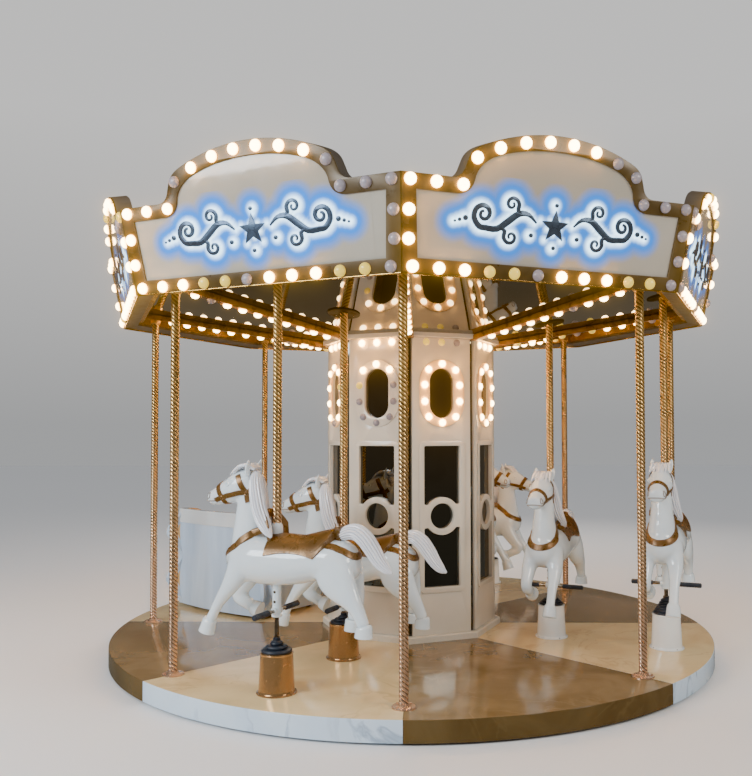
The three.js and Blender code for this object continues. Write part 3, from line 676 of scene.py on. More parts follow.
def column_panel(oval_lamplight_or_plain):
    half = PANEL_WIDTH / 2
    eye = arc((0, RING_HEIGHT), RING_INNER, 0, 352.5, 48)
    windows = [half_window(1), half_window(-1), eye]
    oval = stadium(OVAL_HEIGHT, OVAL_HALF, OVAL_REACH)
    sheet_edge = rounded_box(-half, PANEL_LOW, half, PANEL_TOP, PANEL_CORNER, 3)
    sheet = cut_sheet(sheet_edge, [*windows, oval], 0, PANEL_THICKNESS, PANEL_EDGE)
    c, x, low, high = FRAME_CHAMFER, FRAME_HALF, FRAME_LOW, FRAME_HIGH
    frame_edge = [(x, low + c), (x, high - c), (x - c, high), (c - x, high), (-x, high - c), (-x, low + c),
                  (c - x, low), (x - c, low)]
    proud = (PANEL_THICKNESS - 0.001, PANEL_THICKNESS + RAISED, RAISED_EDGE)
    frame_ring = cut_sheet(frame_edge, windows, *proud)
    oval_ring = cut_sheet(stadium(OVAL_HEIGHT, OVAL_PLATE_HALF, OVAL_PLATE_REACH, 32), [oval], *proud)
    parts = [(on_panel(points), faces, number) for number, (points, faces)
             in zip((0, 0, 1), (sheet, frame_ring, oval_ring))]
    return build("column_panel", parts, [white_lacquer, oval_lamplight_or_plain], 30)


def facing(distance, x, z):
    """A place on an upright face at the front, its Z axis pointing out of the face."""
    return moved(x, -distance, z) @ turned(90, "X")


rng = np.random.default_rng(7)


def glows_for(pattern, count):
    """How lamps glow: a pattern read off the photograph, or mostly lit with some dim and some out."""
    if pattern:
        return [GLOW_OF[letter] for letter in pattern]
    return [rng.choice([GLOW_OF[letter] for letter in "ldo"], p=[0.82, 0.09, 0.09]) for _ in range(count)]


# Panel DARK_OVAL, its oval lamps mostly out, has its oval plain white, without that painted lamplight.
lit_panel, unlit_panel = column_panel(lamplight_oval), column_panel(white_lacquer)
for k in range(SIDES):
    around = turned((k + 0.5) * STEP)
    panel_mesh = unlit_panel if k + 1 == DARK_OVAL else lit_panel
    stand(f"white_panel_{k + 1}", panel_mesh, "carousel", [f"column_panel_{k + 1}"], around)
    face = PANEL_BACK + PANEL_THICKNESS
    places = [around @ facing(face + RAISED, x, OVAL_HEIGHT + z) for x, z in OVAL_LAMPS]
    places += [around @ facing(face, x, z) for x, z in HEAD_LAMPS]
    glows = glows_for(PANEL_GLOWS.get(k + 1), len(places))
    lamps(f"panel_lamps_{k + 1}", places, glows, PANEL_LAMP_SIZE)
dress("column_plinth", white_lacquer, 0.003)


# Canopy ribs: eight brown-gold beams under the seams of the mirror ceiling, from the column's white collar
# out to the soffit, with ten lamps along the underside of each. The soffit's box ring is a brighter gold.
RIB_DEPTH, RIB_WIDTH, RIB_EDGE = 0.036, 0.062, 0.005
RIB_SINK = 0.03
RIB_LAMPS = [0.752 + 0.1056 * i for i in range(10)]
RIB_LAMP_SIZE = (0.025, 0.019)
CEILING_HEIGHT, CEILING_START, CEILING_SLOPE = 2.104, 0.700, 0.168
COLLAR_RADIUS, COLLAR_EDGE = 0.632, 0.004
RIB_END = 1.895
GAP = 0.0003
CORE_RADIUS = 0.573


def ceiling_at(radius):
    return CEILING_HEIGHT + CEILING_SLOPE * (radius - CEILING_START)


streaked, given, out = group(
    "streaks",
    [("Light", "Color", (1, 1, 1, 1)), ("Dark", "Color", (0, 0, 0, 1)), ("Stretch", "Vector", (1, 1, 1)),
     ("Smooth", "Float", 0.2), ("Dull", "Float", 0.4)],
    FILM_OUTPUTS)
scaled = shader(streaked, "VectorMath", {"operation": "MULTIPLY"})
join(placed(streaked), scaled.inputs[0])
join(given["Stretch"], scaled.inputs[1])
grain = noise(streaked, scaled.outputs[0], 1.0, 5.0, 0.4)
feed(out, Color=mixed(streaked, ranged(streaked, grain, 0.35, 0.65, 0.0, 1.0), given["Dark"], given["Light"]),
     Roughness=ranged(streaked, grain, 0.3, 0.7, given["Smooth"], given["Dull"]), Height=grain)


def streaked_finish(name, light, dark, stretch, smooth, dull, metal=0.0):
    values = {"Light": light, "Dark": dark, "Stretch": stretch, "Smooth": smooth, "Dull": dull}
    return filmed(name, streaked, 0.1, 0.001, values, Metallic=metal)


rib_gold = streaked_finish("rib_gold", shade(150, 108, 56), shade(112, 76, 38), (20, 20, 20), 0.22, 0.4, 0.35)
soffit_gold = streaked_finish("soffit_gold", shade(214, 160, 72), shade(176, 122, 48), (9, 9, 9),
                              0.16, 0.3, 0.6)


def swept(outline, start, end):
    """A closed outline in x and z, carried from one y and height to another, with flat ends."""
    points = [(x, y, level + z) for y, level in (start, end) for x, z in outline]
    return points, ring_faces(2, len(outline), True) + end_faces(2, len(outline))


def canopy_ribs():
    low = PANEL_TOP + GAP
    inner = CORE_RADIUS + GAP / FLAT
    profile = [(inner, low), (COLLAR_RADIUS - COLLAR_EDGE, low), (COLLAR_RADIUS, low + COLLAR_EDGE),
               (COLLAR_RADIUS, ceiling_at(COLLAR_RADIUS) - GAP), (inner, ceiling_at(inner) - GAP)]
    parts = [(*revolved(profile, SIDES, turned(-90)), 1)]
    section = rounded_box(-RIB_WIDTH / 2, -RIB_DEPTH, RIB_WIDTH / 2, 0, RIB_EDGE, 4)
    start, end = [(-radius, ceiling_at(radius) - GAP) for radius in (COLLAR_RADIUS - RIB_SINK, RIB_END)]
    beam, beam_faces = swept(section, start, end)
    for k in range(SIDES):
        parts.append(([turned(k * STEP) @ Vector(point) for point in beam], beam_faces, 0))
    return build("canopy_beams", parts, [rib_gold, white_lacquer], 30)


stand("canopy_beams", canopy_ribs(), "carousel", ["canopy_ribs"])
rib_slope = math.degrees(math.atan(CEILING_SLOPE))
for k in range(SIDES):
    places = [turned(k * STEP) @ moved(0, -radius, ceiling_at(radius) - GAP - RIB_DEPTH)
              @ turned(180 - rib_slope, "X") for radius in RIB_LAMPS]
    lamps(f"rib_lamps_{k + 1}", places, glows_for(None, len(places)), RIB_LAMP_SIZE)
dress("soffit_ring", soffit_gold, 0.002)


# Canopy boards: eight arched light boxes leaning outward, mitred at the corners. Each has grey-white
# walls, painted darker for the shade they stand in, a glossy cream face, a gold-brown border round it with
# thirty lamps, and a scroll that glows blue at its back, that glow painted onto the face round it.
BOARD_RADIUS = 2.055
BOARD_BOTTOM = 2.198
BOARD_LEAN = math.radians(11.4)
BOARD_THICKNESS = 0.100
BOARD_EDGE = 0.002
BOARD_FACE = BOARD_RADIUS * FLAT
BOARD_SHOULDER = 0.455
BOARD_CREST = 0.703
ARCH_HALF, ARCH_FOOT = 0.411, 0.620
FACE_RECESS = 0.010
FACE_GRID, FACE_COLUMNS, FACE_ROWS = 0.0125, 106, 35
FACE_PROUD = 0.0008
SCROLL_MIDDLE = (0.0, 0.270)
SCROLL_THICKNESS = 0.008
STROKE_WIDTH = 1.3
STROKE_STEPS = 3
SPIRAL_POINTS = 12
GLOW_REACH = 0.100
BOTTOM_LAMPS = [0.067, 0.199, 0.334, 0.466, 0.600, 0.735]
BOTTOM_LAMP_HEIGHT = 0.030
SIDE_LAMPS = [(0.764, 0.155), (0.772, 0.288)]
SHOULDER_LAMPS = [(0.775, 0.425), (0.644, 0.425), (0.508, 0.425)]
ARCH_LAMPS = [(0.446, 0.554), (0.330, 0.611), (0.197, 0.650), (0.066, 0.668)]
BOARD_LAMP_SIZE = (0.030, 0.023)
BOARD_GLOWS = {8: "lllllolllllloooooooddllloddlll", 1: "lllllllllllooooooooddllloddlll"}


def board_half(height, out=0.0):
    """Half the width of a board between its mitres, at a height up its face and a distance out from it."""
    distance = BOARD_FACE + height * math.sin(BOARD_LEAN) + out * math.cos(BOARD_LEAN)
    return distance * math.tan(HALF_STEP) - GAP


def curl(start, bend, end, steps=7):
    """Points after the first on a curve that leaves towards the bend and reaches the end from it."""
    return [tuple((1 - t) ** 2 * a + 2 * t * (1 - t) * b + t * t * c for a, b, c in zip(start, bend, end))
            for t in np.linspace(0, 1, steps)[1:]]


def board_side():
    """The outline's right half, from the shoulder's corner to the crest."""
    rise = BOARD_CREST - ARCH_FOOT
    radius = (ARCH_HALF ** 2 + rise ** 2) / (2 * rise)
    spread = math.degrees(math.asin(ARCH_HALF / radius))
    path = [(0.570, BOARD_SHOULDER)]
    path += curl(path[-1], (0.512, BOARD_SHOULDER), (0.498, 0.516))
    path += [(0.484, 0.556)]
    path += curl(path[-1], (0.468, 0.596), (ARCH_HALF, ARCH_FOOT))
    return path + arc((0, BOARD_CREST - radius), radius, 90 - spread, 90, 18)[1:]


def both_sides(path):
    """A right half that ends on the middle line, with its left half."""
    return path + [(-x, y) for x, y in reversed(path[:-1])]


def face_edge():
    """The inner edge of the border, round the cream face, from its lower right corner."""
    path = [(0.711, 0.070), (0.741, 0.382), (0.535, 0.382)]
    path += curl(path[-1], (0.462, 0.384), (0.448, 0.450))
    path += curl(path[-1], (0.442, 0.520), (0.357, 0.565))
    path += curl(path[-1], (0.215, 0.626), (0.0, 0.628), 14)
    return both_sides(path)


def on_board(points):
    """From a board's own x, height up its face and distance out, to the front board's place."""
    lean, rise = math.sin(BOARD_LEAN), math.cos(BOARD_LEAN)
    return [(x, -(BOARD_FACE + up * lean + out * rise), BOARD_BOTTOM + up * rise - out * lean)
            for x, up, out in points]


def board_ring(out, inset=0.0):
    """The box's outline at a distance out from the face, drawn in by a small inset."""
    path = [(board_half(0, out) - inset, inset),
            (board_half(BOARD_SHOULDER, out) - inset, BOARD_SHOULDER - inset)]
    crest = [(x, y - inset) for x, y in board_side()]
    return [(x, y, out) for x, y in both_sides(path + crest)]


def board_box():
    """Rings of the outline from the back to the front, their edges eased, with flat faces at both ends."""
    layers = [(-BOARD_THICKNESS, BOARD_EDGE), (-BOARD_THICKNESS + BOARD_EDGE, 0), (-FACE_RECESS, 0)]
    rings = [board_ring(out, inset) for out, inset in layers]
    count = len(rings[0])
    back, front = end_faces(len(rings), count)
    points = [point for ring_points in rings for point in ring_points]
    return on_board(points), ring_faces(len(rings), count, True) + [back], [front]


def star(outer, inner):
    """A five-pointed star, its first point upward."""
    return [(radius * math.cos(angle), radius * math.sin(angle)) for radius, angle
            in ((inner if i % 2 else outer, math.radians(90 + 36 * i)) for i in range(10))]


def smooth_rows(rows, steps):
    """Rows of numbers joined by a smooth curve through each, with so many steps between neighbours."""
    rows = np.array(rows, float)
    padded = np.vstack([2 * rows[0] - rows[1], rows, 2 * rows[-1] - rows[-2]])
    t = np.linspace(0, 1, steps, endpoint=False)[:, None]
    parts = []
    for before, start, end, after in zip(padded, padded[1:], padded[2:], padded[3:]):
        parts.append(0.5 * (2 * start + (end - before) * t
                            + (2 * before - 5 * start + 4 * end - after) * t ** 2
                            + (3 * start - before - 3 * end + after) * t ** 3))
    return np.vstack([*parts, rows[-1:]])


def brush(rows):
    """A flat stroke round a smooth path of x, y and half width: its outline."""
    line = smooth_rows(rows, STROKE_STEPS)
    along = np.gradient(line[:, :2], axis=0)
    along /= np.linalg.norm(along, axis=1)[:, None]
    aside = np.stack([-along[:, 1], along[:, 0]], axis=1) * line[:, 2:] * STROKE_WIDTH
    return [tuple(p) for p in line[:, :2] + aside] + [tuple(p) for p in (line[:, :2] - aside)[::-1]]


def spiral(centre, start, turns, outer, inner, wide):
    """A path of x, y and half width that winds in to its centre."""
    rows = []
    for t in np.linspace(0, 1, SPIRAL_POINTS):
        angle = math.radians(start + 360 * turns * t)
        radius = outer * (inner / outer) ** t
        rows.append((centre[0] + radius * math.cos(angle), centre[1] + radius * math.sin(angle),
                     wide * (1 - 0.55 * t)))
    return rows


def bead(x, y, radius):
    return arc((x, y), radius, 0, 340, 18)


def scroll_strokes():
    """A star between two running scrolls, each with two side curls and a row of beads."""
    vine = [(0.105, 0.010, 0.003), (0.150, 0.046, 0.008), (0.205, 0.046, 0.012), (0.262, 0.004, 0.013),
            (0.318, -0.034, 0.012), (0.378, -0.034, 0.011)]
    right = [brush(vine + spiral((0.392, 0.030), -70, 1.45, 0.062, 0.014, 0.011)),
             brush([(0.190, 0.050, 0.004)] + spiral((0.246, 0.088), 215, -1.25, 0.044, 0.010, 0.008)),
             brush([(0.300, -0.026, 0.004)] + spiral((0.240, -0.066), 35, -1.25, 0.044, 0.010, 0.008)),
             bead(0.486, 0.004, 0.013), bead(0.516, -0.006, 0.009), bead(0.540, -0.014, 0.006),
             bead(0.130, -0.050, 0.011)]
    left = [[(-x, y) for x, y in reversed(path)] for path in right]
    middle = [star(0.080, 0.034), bead(0, -0.102, 0.010), bead(0, 0.104, 0.010)]
    return [[(x + SCROLL_MIDDLE[0], y + SCROLL_MIDDLE[1]) for x, y in path] for path in right + left + middle]


def lit_face(strokes):
    """The cream face as a fine grid, and each point's distance from the scroll's edge."""
    edge = np.array([point for path in strokes for point in path])
    x = (np.arange(FACE_COLUMNS) - (FACE_COLUMNS - 1) / 2) * FACE_GRID
    y = SCROLL_MIDDLE[1] + (np.arange(FACE_ROWS) - (FACE_ROWS - 1) / 2) * FACE_GRID
    grid = np.stack(np.meshgrid(x, y), axis=2).reshape(-1, 2)
    gap = np.sqrt(((grid[:, None] - edge[None]) ** 2).sum(axis=2)).min(axis=1)
    inside = (grid[:, 1] < 0.425) | (np.abs(grid[:, 0]) < 0.465)
    faces = [face for face in ring_faces(FACE_ROWS, FACE_COLUMNS, False)
             if all(inside[corner] for corner in face)]
    used = sorted({corner for face in faces for corner in face})
    place = {corner: number for number, corner in enumerate(used)}
    return grid[used], gap[used], [tuple(place[corner] for corner in face) for face in faces]


border_gold = streaked_finish("border_gold", shade(94, 76, 44), shade(70, 56, 32), (7, 7, 7), 0.24, 0.38, 0.2)
bright_trim = streaked_finish("bright_trim", shade(250, 206, 120), shade(222, 164, 84), (30, 30, 30),
                              0.1, 0.2, 1.0)
# Painted shade: the walls' grey is darkened for the shade they stand in.
shaded_wall_grey = painted("board_wall_painted_shade", shade(88, 84, 80), shade(82, 78, 74), 1.5, 0.3, 0.42, 0.0,
                     ripple=0.03)
scroll_blue = painted("scroll_blue_grey", shade(58, 78, 98), shade(44, 60, 80), 20.0, 0.25, 0.4, 0.0,
                      metal=0.6)

face_values = {"Color": shade(186, 180, 167), "Shade": shade(171, 164, 149), "Scale": 1.3,
               "Smooth": 0.05, "Dull": 0.12, "Wear": 0.0}
face_cream = filmed("board_face_cream", gloss_paint, 0.15, 0.004, face_values, Coat_Weight=0.5)
tree = face_cream.node_tree
skin = tree.nodes["Principled BSDF"]
cream = skin.inputs["Base Color"].links[0].from_socket
# Painted light: round the scroll the cream face is tinted blue and glows, for the blue light that spills from
# behind the scroll.
halo = shader(tree, "Attribute", {"attribute_name": "halo"}).outputs["Fac"]
core = sums(tree, "POWER", ranged(tree, halo, 0.62, 0.96, 0.0, 1.0), 1.8)
halo_colour = mixed(tree, core, (0.001, 0.040, 0.165, 1), (0.62, 0.88, 1.0, 1))
halo_colour = mixed(tree, ranged(tree, halo, 0.0, 0.6, 0.0, 1.0), BLACK, halo_colour)
glow_tinted_cream = mixed(tree, ranged(tree, halo, 0.0, 0.55, 0.0, 1.0), cream, (0.02, 0.20, 0.66, 1))
feed(skin, Base_Color=glow_tinted_cream, Emission_Color=halo_colour, Emission_Strength=5.0)


def canopy_board():
    """The board in four finishes with a trim down each mitre, and the scroll that stands off its face."""
    box_points, walls, front = board_box()
    border_outline = [(x, y) for x, y, _ in board_ring(-FACE_RECESS / 2)]
    border, border_faces = cut_sheet(border_outline, [face_edge()], -FACE_RECESS, 0, 0.002)
    strokes = scroll_strokes()
    grid, gap, grid_faces = lit_face(strokes)
    face_points = on_board([(x, y, FACE_PROUD - FACE_RECESS) for x, y in grid])
    trim = rounded_box(-0.006, -0.008, 0.006, 0.0005, 0.002, 3)
    reach = board_half(0, -0.006) - 0.002
    rail = [(side * reach, up, out - 0.010) for side in (-1, 1) for out, up in trim]
    rail_faces = ring_faces(2, len(trim), True) + end_faces(2, len(trim))
    parts = [(box_points, walls, 0), (box_points, front, 1), (on_board(border), border_faces, 2),
             (face_points, grid_faces, 1), (on_board(rail), rail_faces, 3)]
    nearness = list(np.clip(1 - gap / GLOW_REACH, 0, 1))
    halos = [0.0] * (2 * len(box_points) + len(border)) + nearness + [0.0] * len(rail)
    finishes = [shaded_wall_grey, face_cream, border_gold, bright_trim]
    board = build("canopy_light_board", parts, finishes, 30, {"halo": halos})
    stroke_low = FACE_RECESS * 0.2
    raised = [cut_sheet(path, [], stroke_low, stroke_low + SCROLL_THICKNESS, 0.0015) for path in strokes]
    stroke_parts = [(on_board(points), faces, 0) for points, faces in raised]
    return board, build("glowing_scroll", stroke_parts, [scroll_blue], 30)


def board_lamp_places():
    """The lamps from the lower left corner, round over the arch and back along the bottom edge."""
    right = SIDE_LAMPS + SHOULDER_LAMPS + ARCH_LAMPS
    left = [(-x, y) for x, y in right]
    bottom = [(x, BOTTOM_LAMP_HEIGHT) for x in BOTTOM_LAMPS]
    return left + right[::-1] + bottom[::-1] + [(-x, y) for x, y in bottom]


board_mesh, scroll_mesh = canopy_board()
board_tilt = 90 + math.degrees(BOARD_LEAN)
lamp_spots = on_board([(x, y, 0) for x, y in board_lamp_places()])
for k in range(SIDES):
    around = turned((k + 0.5) * STEP)
    stand(f"light_board_{k + 1}", board_mesh, "carousel", [f"canopy_board_{k + 1}"], around)
    stand(f"board_scroll_{k + 1}", scroll_mesh, "carousel", (), around)
    places = [around @ moved(*spot) @ turned(board_tilt, "X") for spot in lamp_spots]
    glows = glows_for(BOARD_GLOWS.get(k + 1), len(places))
    lamps(f"board_lamps_{k + 1}", places, glows, BOARD_LAMP_SIZE)


# Cups: a tapered sheet-metal cup with a pressed flange round each rod, bronze on the first pair and white
# on the others, closed by a ribbed rubber boot that wipes the rod.
HORSE_CIRCLES = (1.725, 1.000)
HORSE_AZIMUTHS = (-22.5, 67.5, 157.5)
HORSE_SPOTS = {number: turned(azimuth) @ moved(0, -radius, 0) for number, (azimuth, radius)
               in enumerate([(a, r) for a in HORSE_AZIMUTHS for r in HORSE_CIRCLES], 1)}
CUP_FOOT = DECK_TOP + GAP
CUP_HEIGHT = 0.320
CUP_FLANGE, CUP_BOLT_CIRCLE = 0.105, 0.099
BOOT_RIB = 0.0155
BOOT_NECK = 0.020

rubber = painted("boot_rubber", shade(52, 58, 68), shade(36, 40, 48), 12.0, 0.35, 0.6, 0.0)
bronze_paint = painted("bronze_paint", shade(200, 156, 106), shade(182, 138, 90), 2.5, 0.2, 0.3, 0.0,
                       metal=0.75, coat=0.3)
cup_white = painted("cup_white", shade(248, 248, 245), shade(238, 239, 236), 5.0, 0.06, 0.14, 0.1, coat=0.7)
steel_rod = painted("steel_rod", shade(176, 164, 150), shade(140, 124, 108), 30.0, 0.18, 0.35, 0.0, metal=1.0)


def ribbed(radii, low, step, round_over):
    """A bellows profile: each rib bulges out from a neck."""
    profile = []
    for i, radius in enumerate(radii):
        for a in np.linspace(-70, 70, 6):
            bulge = math.cos(math.radians(a))
            profile.append((radius - round_over * (1 - bulge), low + step * (i + 0.5 + a / 160)))
    return profile


def horse_cup(boot_top, finish):
    flange = [(0, 0), (CUP_FLANGE, 0), (CUP_FLANGE, 0.004), (CUP_FLANGE - 0.002, 0.006), (0.096, 0.007),
              (0.0935, 0.010), (0.0925, 0.020)]
    mouth = [(0.084, -0.006), (0.0845, -0.002), (0.087, 0.003), (0.086, 0.006), (0.081, 0.007), (0, 0.007)]
    shell = ([(radius, CUP_FOOT + height) for radius, height in flange]
             + [(radius, CUP_HEIGHT + height) for radius, height in mouth])
    low = CUP_HEIGHT + 0.006
    count = round((boot_top - low - BOOT_NECK) / BOOT_RIB)
    ribs = ribbed(np.linspace(0.080, 0.034, count), low, (boot_top - low - BOOT_NECK) / count, 0.007)
    neck = [(0.026, boot_top - 0.019), (0.0185, boot_top - 0.014), (0.0185, boot_top - 0.002),
            (0.0165, boot_top), (0, boot_top)]
    parts = [(*revolved(shell, 64), 0), (*revolved([(0, low)] + ribs + neck, 48), 1)]
    parts += bolt_ring(FOUR_CORNERS, CUP_BOLT_CIRCLE, CUP_FOOT + 0.0062, 0.003, 0.003, 2)
    return build("horse_cup", parts, [finish, rubber, steel_rod], 35)


for number, spot in HORSE_SPOTS.items():
    finish, slot = (bronze_paint, "bronze_cup") if number <= 2 else (cup_white, "white_cup")
    mesh = horse_cup(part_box(f"cup_{number}")[1].z, finish)
    stand(f"rod_cup_{number}", mesh, "carousel", [f"cup_{number}"], spot)


# Horse poles: twisted brass from the saddle up through the ceiling, a white tube through the body, a steel
# rod below it, and a foot bar with ribbed rubber grips clamped across the tube.
ROD_RADIUS = 0.012
TUBE_RADIUS, TUBE_LOW = 0.023, 0.505
TWIST_LOW = 0.985
BALL_LOW, BALL_MIDDLE, BALL_HIGH, BALL_RADIUS = 0.905, 0.962, 0.999, 0.031
FOOT_BAR_HEIGHT, FOOT_BAR_HALF, FOOT_BAR_RADIUS = 0.538, 0.205, 0.010
CLAMP_HALF, CLAMP_RADIUS = 0.034, 0.018
GRIP_LENGTH, GRIP_RADIUS, GRIP_RIBS = 0.125, 0.0155, 14
TUBE_BOLT_HEIGHTS = (0.585, 0.635)

horse_gloss = painted("horse_white", shade(232, 240, 242), shade(222, 231, 235), 3.0, 0.06, 0.14, 0.12,
                      coat=0.5)


def foot_grip(side):
    ribs = ribbed([GRIP_RADIUS] * GRIP_RIBS, 0.0, GRIP_LENGTH / GRIP_RIBS, 0.003)
    profile = [(0, -0.001), (GRIP_RADIUS * 0.8, -0.001), *ribs, (GRIP_RADIUS * 0.7, GRIP_LENGTH + 0.004),
               (0, GRIP_LENGTH + 0.006)]
    start = side * (FOOT_BAR_HALF - GRIP_LENGTH)
    return revolved(profile, 20, moved(0, start, FOOT_BAR_HEIGHT) @ turned(-90 * side, "X"))


def horse_pole(rod_low, top):
    twist, twist_faces, valleys = rope(TUBE_RADIUS + 0.0008, TWIST_LOW, top)
    twist_faces += end_faces(len(twist) // TWIST_COLUMNS, TWIST_COLUMNS)
    rod_top = TUBE_LOW + 0.01
    rod = revolved([(0, rod_low), (ROD_RADIUS, rod_low), (ROD_RADIUS, rod_top), (0, rod_top)], 24)
    ball = [(BALL_RADIUS * math.cos(a), BALL_MIDDLE + (BALL_HIGH - BALL_MIDDLE) * math.sin(a))
            for a in np.linspace(0, 1.15, 8)]
    foot = [(0, 0), (0.023, 0), (0.027, 0.003), (0.027, 0.013), (0.0235, 0.016), (TUBE_RADIUS, 0.020)]
    tube = revolved([*((radius, TUBE_LOW + height) for radius, height in foot), (TUBE_RADIUS, BALL_LOW),
                     (BALL_RADIUS, BALL_LOW), *ball, (0, ball[-1][1])], 40)
    across = moved(0, 0, FOOT_BAR_HEIGHT) @ turned(-90, "X")
    reach = FOOT_BAR_HALF - 0.02
    bar = revolved([(0, -reach), (FOOT_BAR_RADIUS, -reach), (FOOT_BAR_RADIUS, reach), (0, reach)], 20, across)
    clamp_edge = [(CLAMP_RADIUS - 0.002, CLAMP_HALF), (CLAMP_RADIUS, CLAMP_HALF - 0.003)]
    clamp = revolved([(0, -CLAMP_HALF), *((radius, -height) for radius, height in clamp_edge),
                      *clamp_edge[::-1], (0, CLAMP_HALF)], 24, across)
    parts = [(twist, twist_faces, 0), (*rod, 1), (*tube, 2), (*bar, 1), (*clamp, 2), (*foot_grip(1), 3),
             (*foot_grip(-1), 3)]
    for height in TUBE_BOLT_HEIGHTS:
        for azimuth in (0, 180):
            spot = moved(0, 0, height) @ turned(azimuth) @ moved(0, TUBE_RADIUS - 0.001, 0) @ turned(-90, "X")
            parts += hex_bolt(spot, 0.005, 0.005, 1)
    finishes = [brass, steel_rod, horse_gloss, rubber]
    return build("horse_pole", parts, finishes, 40, {"valley": marked_first(valleys, parts)})


lift_spots = {}
for number, spot in HORSE_SPOTS.items():
    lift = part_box(f"horse_{number}")[0].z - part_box("horse_1")[0].z
    lift_spots[number] = spot @ moved(0, 0, lift)
    low, high = (corner.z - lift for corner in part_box(f"horse_pole_{number}"))
    stand(f"lift_pole_{number}", horse_pole(low, high), f"horse_{number}", [f"horse_pole_{number}"],
          lift_spots[number])


# Pole collars: a black nylon ring that guides each horse's pole, screwed to the mirror sheets round its
# hole. It hangs under the sloping ceiling, square to it.
GUIDE_INNER, GUIDE_OUTER, GUIDE_DEPTH = 0.028, 0.098, 0.006
GUIDE_TOP, GUIDE_EDGE = -0.0006, 0.0012

collar_black = painted("collar_black", shade(26, 26, 28), shade(18, 18, 20), 20.0, 0.55, 0.75, 0.0)
feed(collar_black.node_tree.nodes["Principled BSDF"], Specular_IOR_Level=0.12)


def pole_collar():
    profile = [(GUIDE_INNER, GUIDE_TOP), (GUIDE_OUTER, GUIDE_TOP), (GUIDE_OUTER, GUIDE_EDGE - GUIDE_DEPTH),
               (GUIDE_OUTER - GUIDE_EDGE, -GUIDE_DEPTH), (GUIDE_INNER + GUIDE_EDGE, -GUIDE_DEPTH),
               (GUIDE_INNER, GUIDE_EDGE - GUIDE_DEPTH)]
    parts = [(*revolved(profile, 48), 0)]
    circle = (GUIDE_INNER + GUIDE_OUTER) / 2
    parts += bolt_ring((45, 165, 285), circle, -GUIDE_DEPTH, 0.003, 0.0025, 1, tilt=180)
    return build("pole_collar", parts, [collar_black, steel_rod], 35)


collar_mesh = pole_collar()
sheet_slope = math.degrees(math.atan(CEILING_SLOPE / FLAT))
for number, spot in HORSE_SPOTS.items():
    level = ceiling_at(HORSE_CIRCLES[(number - 1) % 2] / FLAT)
    place = spot @ moved(0, 0, level) @ turned(-sheet_slope, "X")
    stand(f"pole_collar_{number}", collar_mesh, "carousel", (), place)


# Horses: six castings from one mould in glossy white gelcoat, x forward, y to the left, which is the outer
# side, and z up from the floor. The limbs below are blended into one skin; hooves, ears, mane and tail are
# laid on it. A row of a limb is its centre, its half width across and its half depth, in millimetres.
TRUNK = [(286, 0, 824, 34, 38), (270, 0, 819, 62, 64), (240, 0, 810, 90, 93), (190, 0, 803, 112, 115),
         (120, 0, 797, 126, 127), (0, 0, 795, 127, 127), (-120, 0, 797, 120, 117), (-220, 0, 808, 118, 104),
         (-320, 0, 818, 122, 108), (-400, 0, 809, 108, 101), (-448, 0, 808, 80, 78), (-474, 0, 810, 36, 42)]
NECK = [(146, 0, 800, 96, 128), (162, 0, 880, 84, 110), (168, 0, 960, 70, 90), (168, 0, 1040, 62, 76),
        (158, 0, 1120, 56, 66), (146, 0, 1190, 50, 54)]
HEAD = [(136, 0, 1202, 46, 58), (186, 0, 1186, 66, 80), (238, 0, 1164, 74, 79), (290, 0, 1144, 61, 67),
        (336, 0, 1127, 53, 55), (374, 0, 1112, 52, 47), (400, 0, 1106, 51, 42), (413, 0, 1104, 43, 33)]
NEAR_FORE = [(165, 66, 800, 56, 80), (188, 74, 738, 52, 66), (212, 80, 692, 48, 55), (242, 83, 648, 42, 45),
             (272, 83, 610, 35, 36), (307, 83, 560, 30, 29), (338, 83, 505, 28, 27), (357, 83, 472, 30, 31)]
FAR_FORE = [(165, -66, 800, 56, 80), (196, -76, 730, 50, 66), (232, -84, 676, 44, 54),
            (268, -84, 628, 38, 46), (296, -84, 592, 35, 40), (286, -84, 566, 34, 38),
            (258, -84, 552, 33, 36), (225, -84, 536, 31, 34), (204, -84, 524, 33, 36)]
NEAR_HIND = [(-350, 62, 800, 56, 96), (-383, 70, 742, 54, 104), (-418, 75, 697, 50, 88),
             (-460, 78, 652, 44, 62), (-493, 80, 613, 38, 45), (-514, 80, 580, 33, 37),
             (-532, 80, 542, 30, 34), (-539, 80, 517, 30, 34)]
FAR_HIND = [(-350, -62, 800, 56, 96), (-368, -70, 742, 54, 96), (-390, -76, 685, 48, 78),
            (-408, -79, 636, 42, 57), (-414, -80, 588, 34, 44), (-411, -80, 542, 30, 38),
            (-403, -80, 508, 29, 36)]
MANE = [(122, 16, 1236, 22, 20), (112, 32, 1196, 34, 32), (96, 44, 1130, 40, 36), (76, 54, 1064, 42, 36),
        (50, 64, 1012, 40, 34), (20, 76, 972, 32, 28), (-4, 86, 945, 22, 20), (-24, 93, 922, 6, 6)]
CREST = [(132, 0, 1244, 26, 22), (104, 6, 1204, 34, 26), (84, 8, 1130, 36, 26), (74, 10, 1060, 36, 28),
         (54, 16, 1000, 34, 26), (34, 24, 950, 26, 20), (20, 30, 925, 8, 8)]
TAIL = [(-350, 0, 925, 8, 10), (-378, 0, 940, 28, 28), (-412, 0, 955, 38, 36), (-458, 0, 960, 44, 42),
        (-506, 0, 932, 45, 44), (-548, 0, 880, 42, 42), (-585, 0, 826, 34, 36), (-622, 0, 789, 24, 26),
        (-656, 0, 770, 5, 6)]
FORELOCK = [(130, 0, 1262, 30, 12), (166, 0, 1278, 36, 15), (206, 0, 1272, 32, 13), (244, 0, 1252, 22, 9),
            (266, 0, 1236, 6, 4)]
LOCKS = (-50, -30, -10, 10, 30, 50)
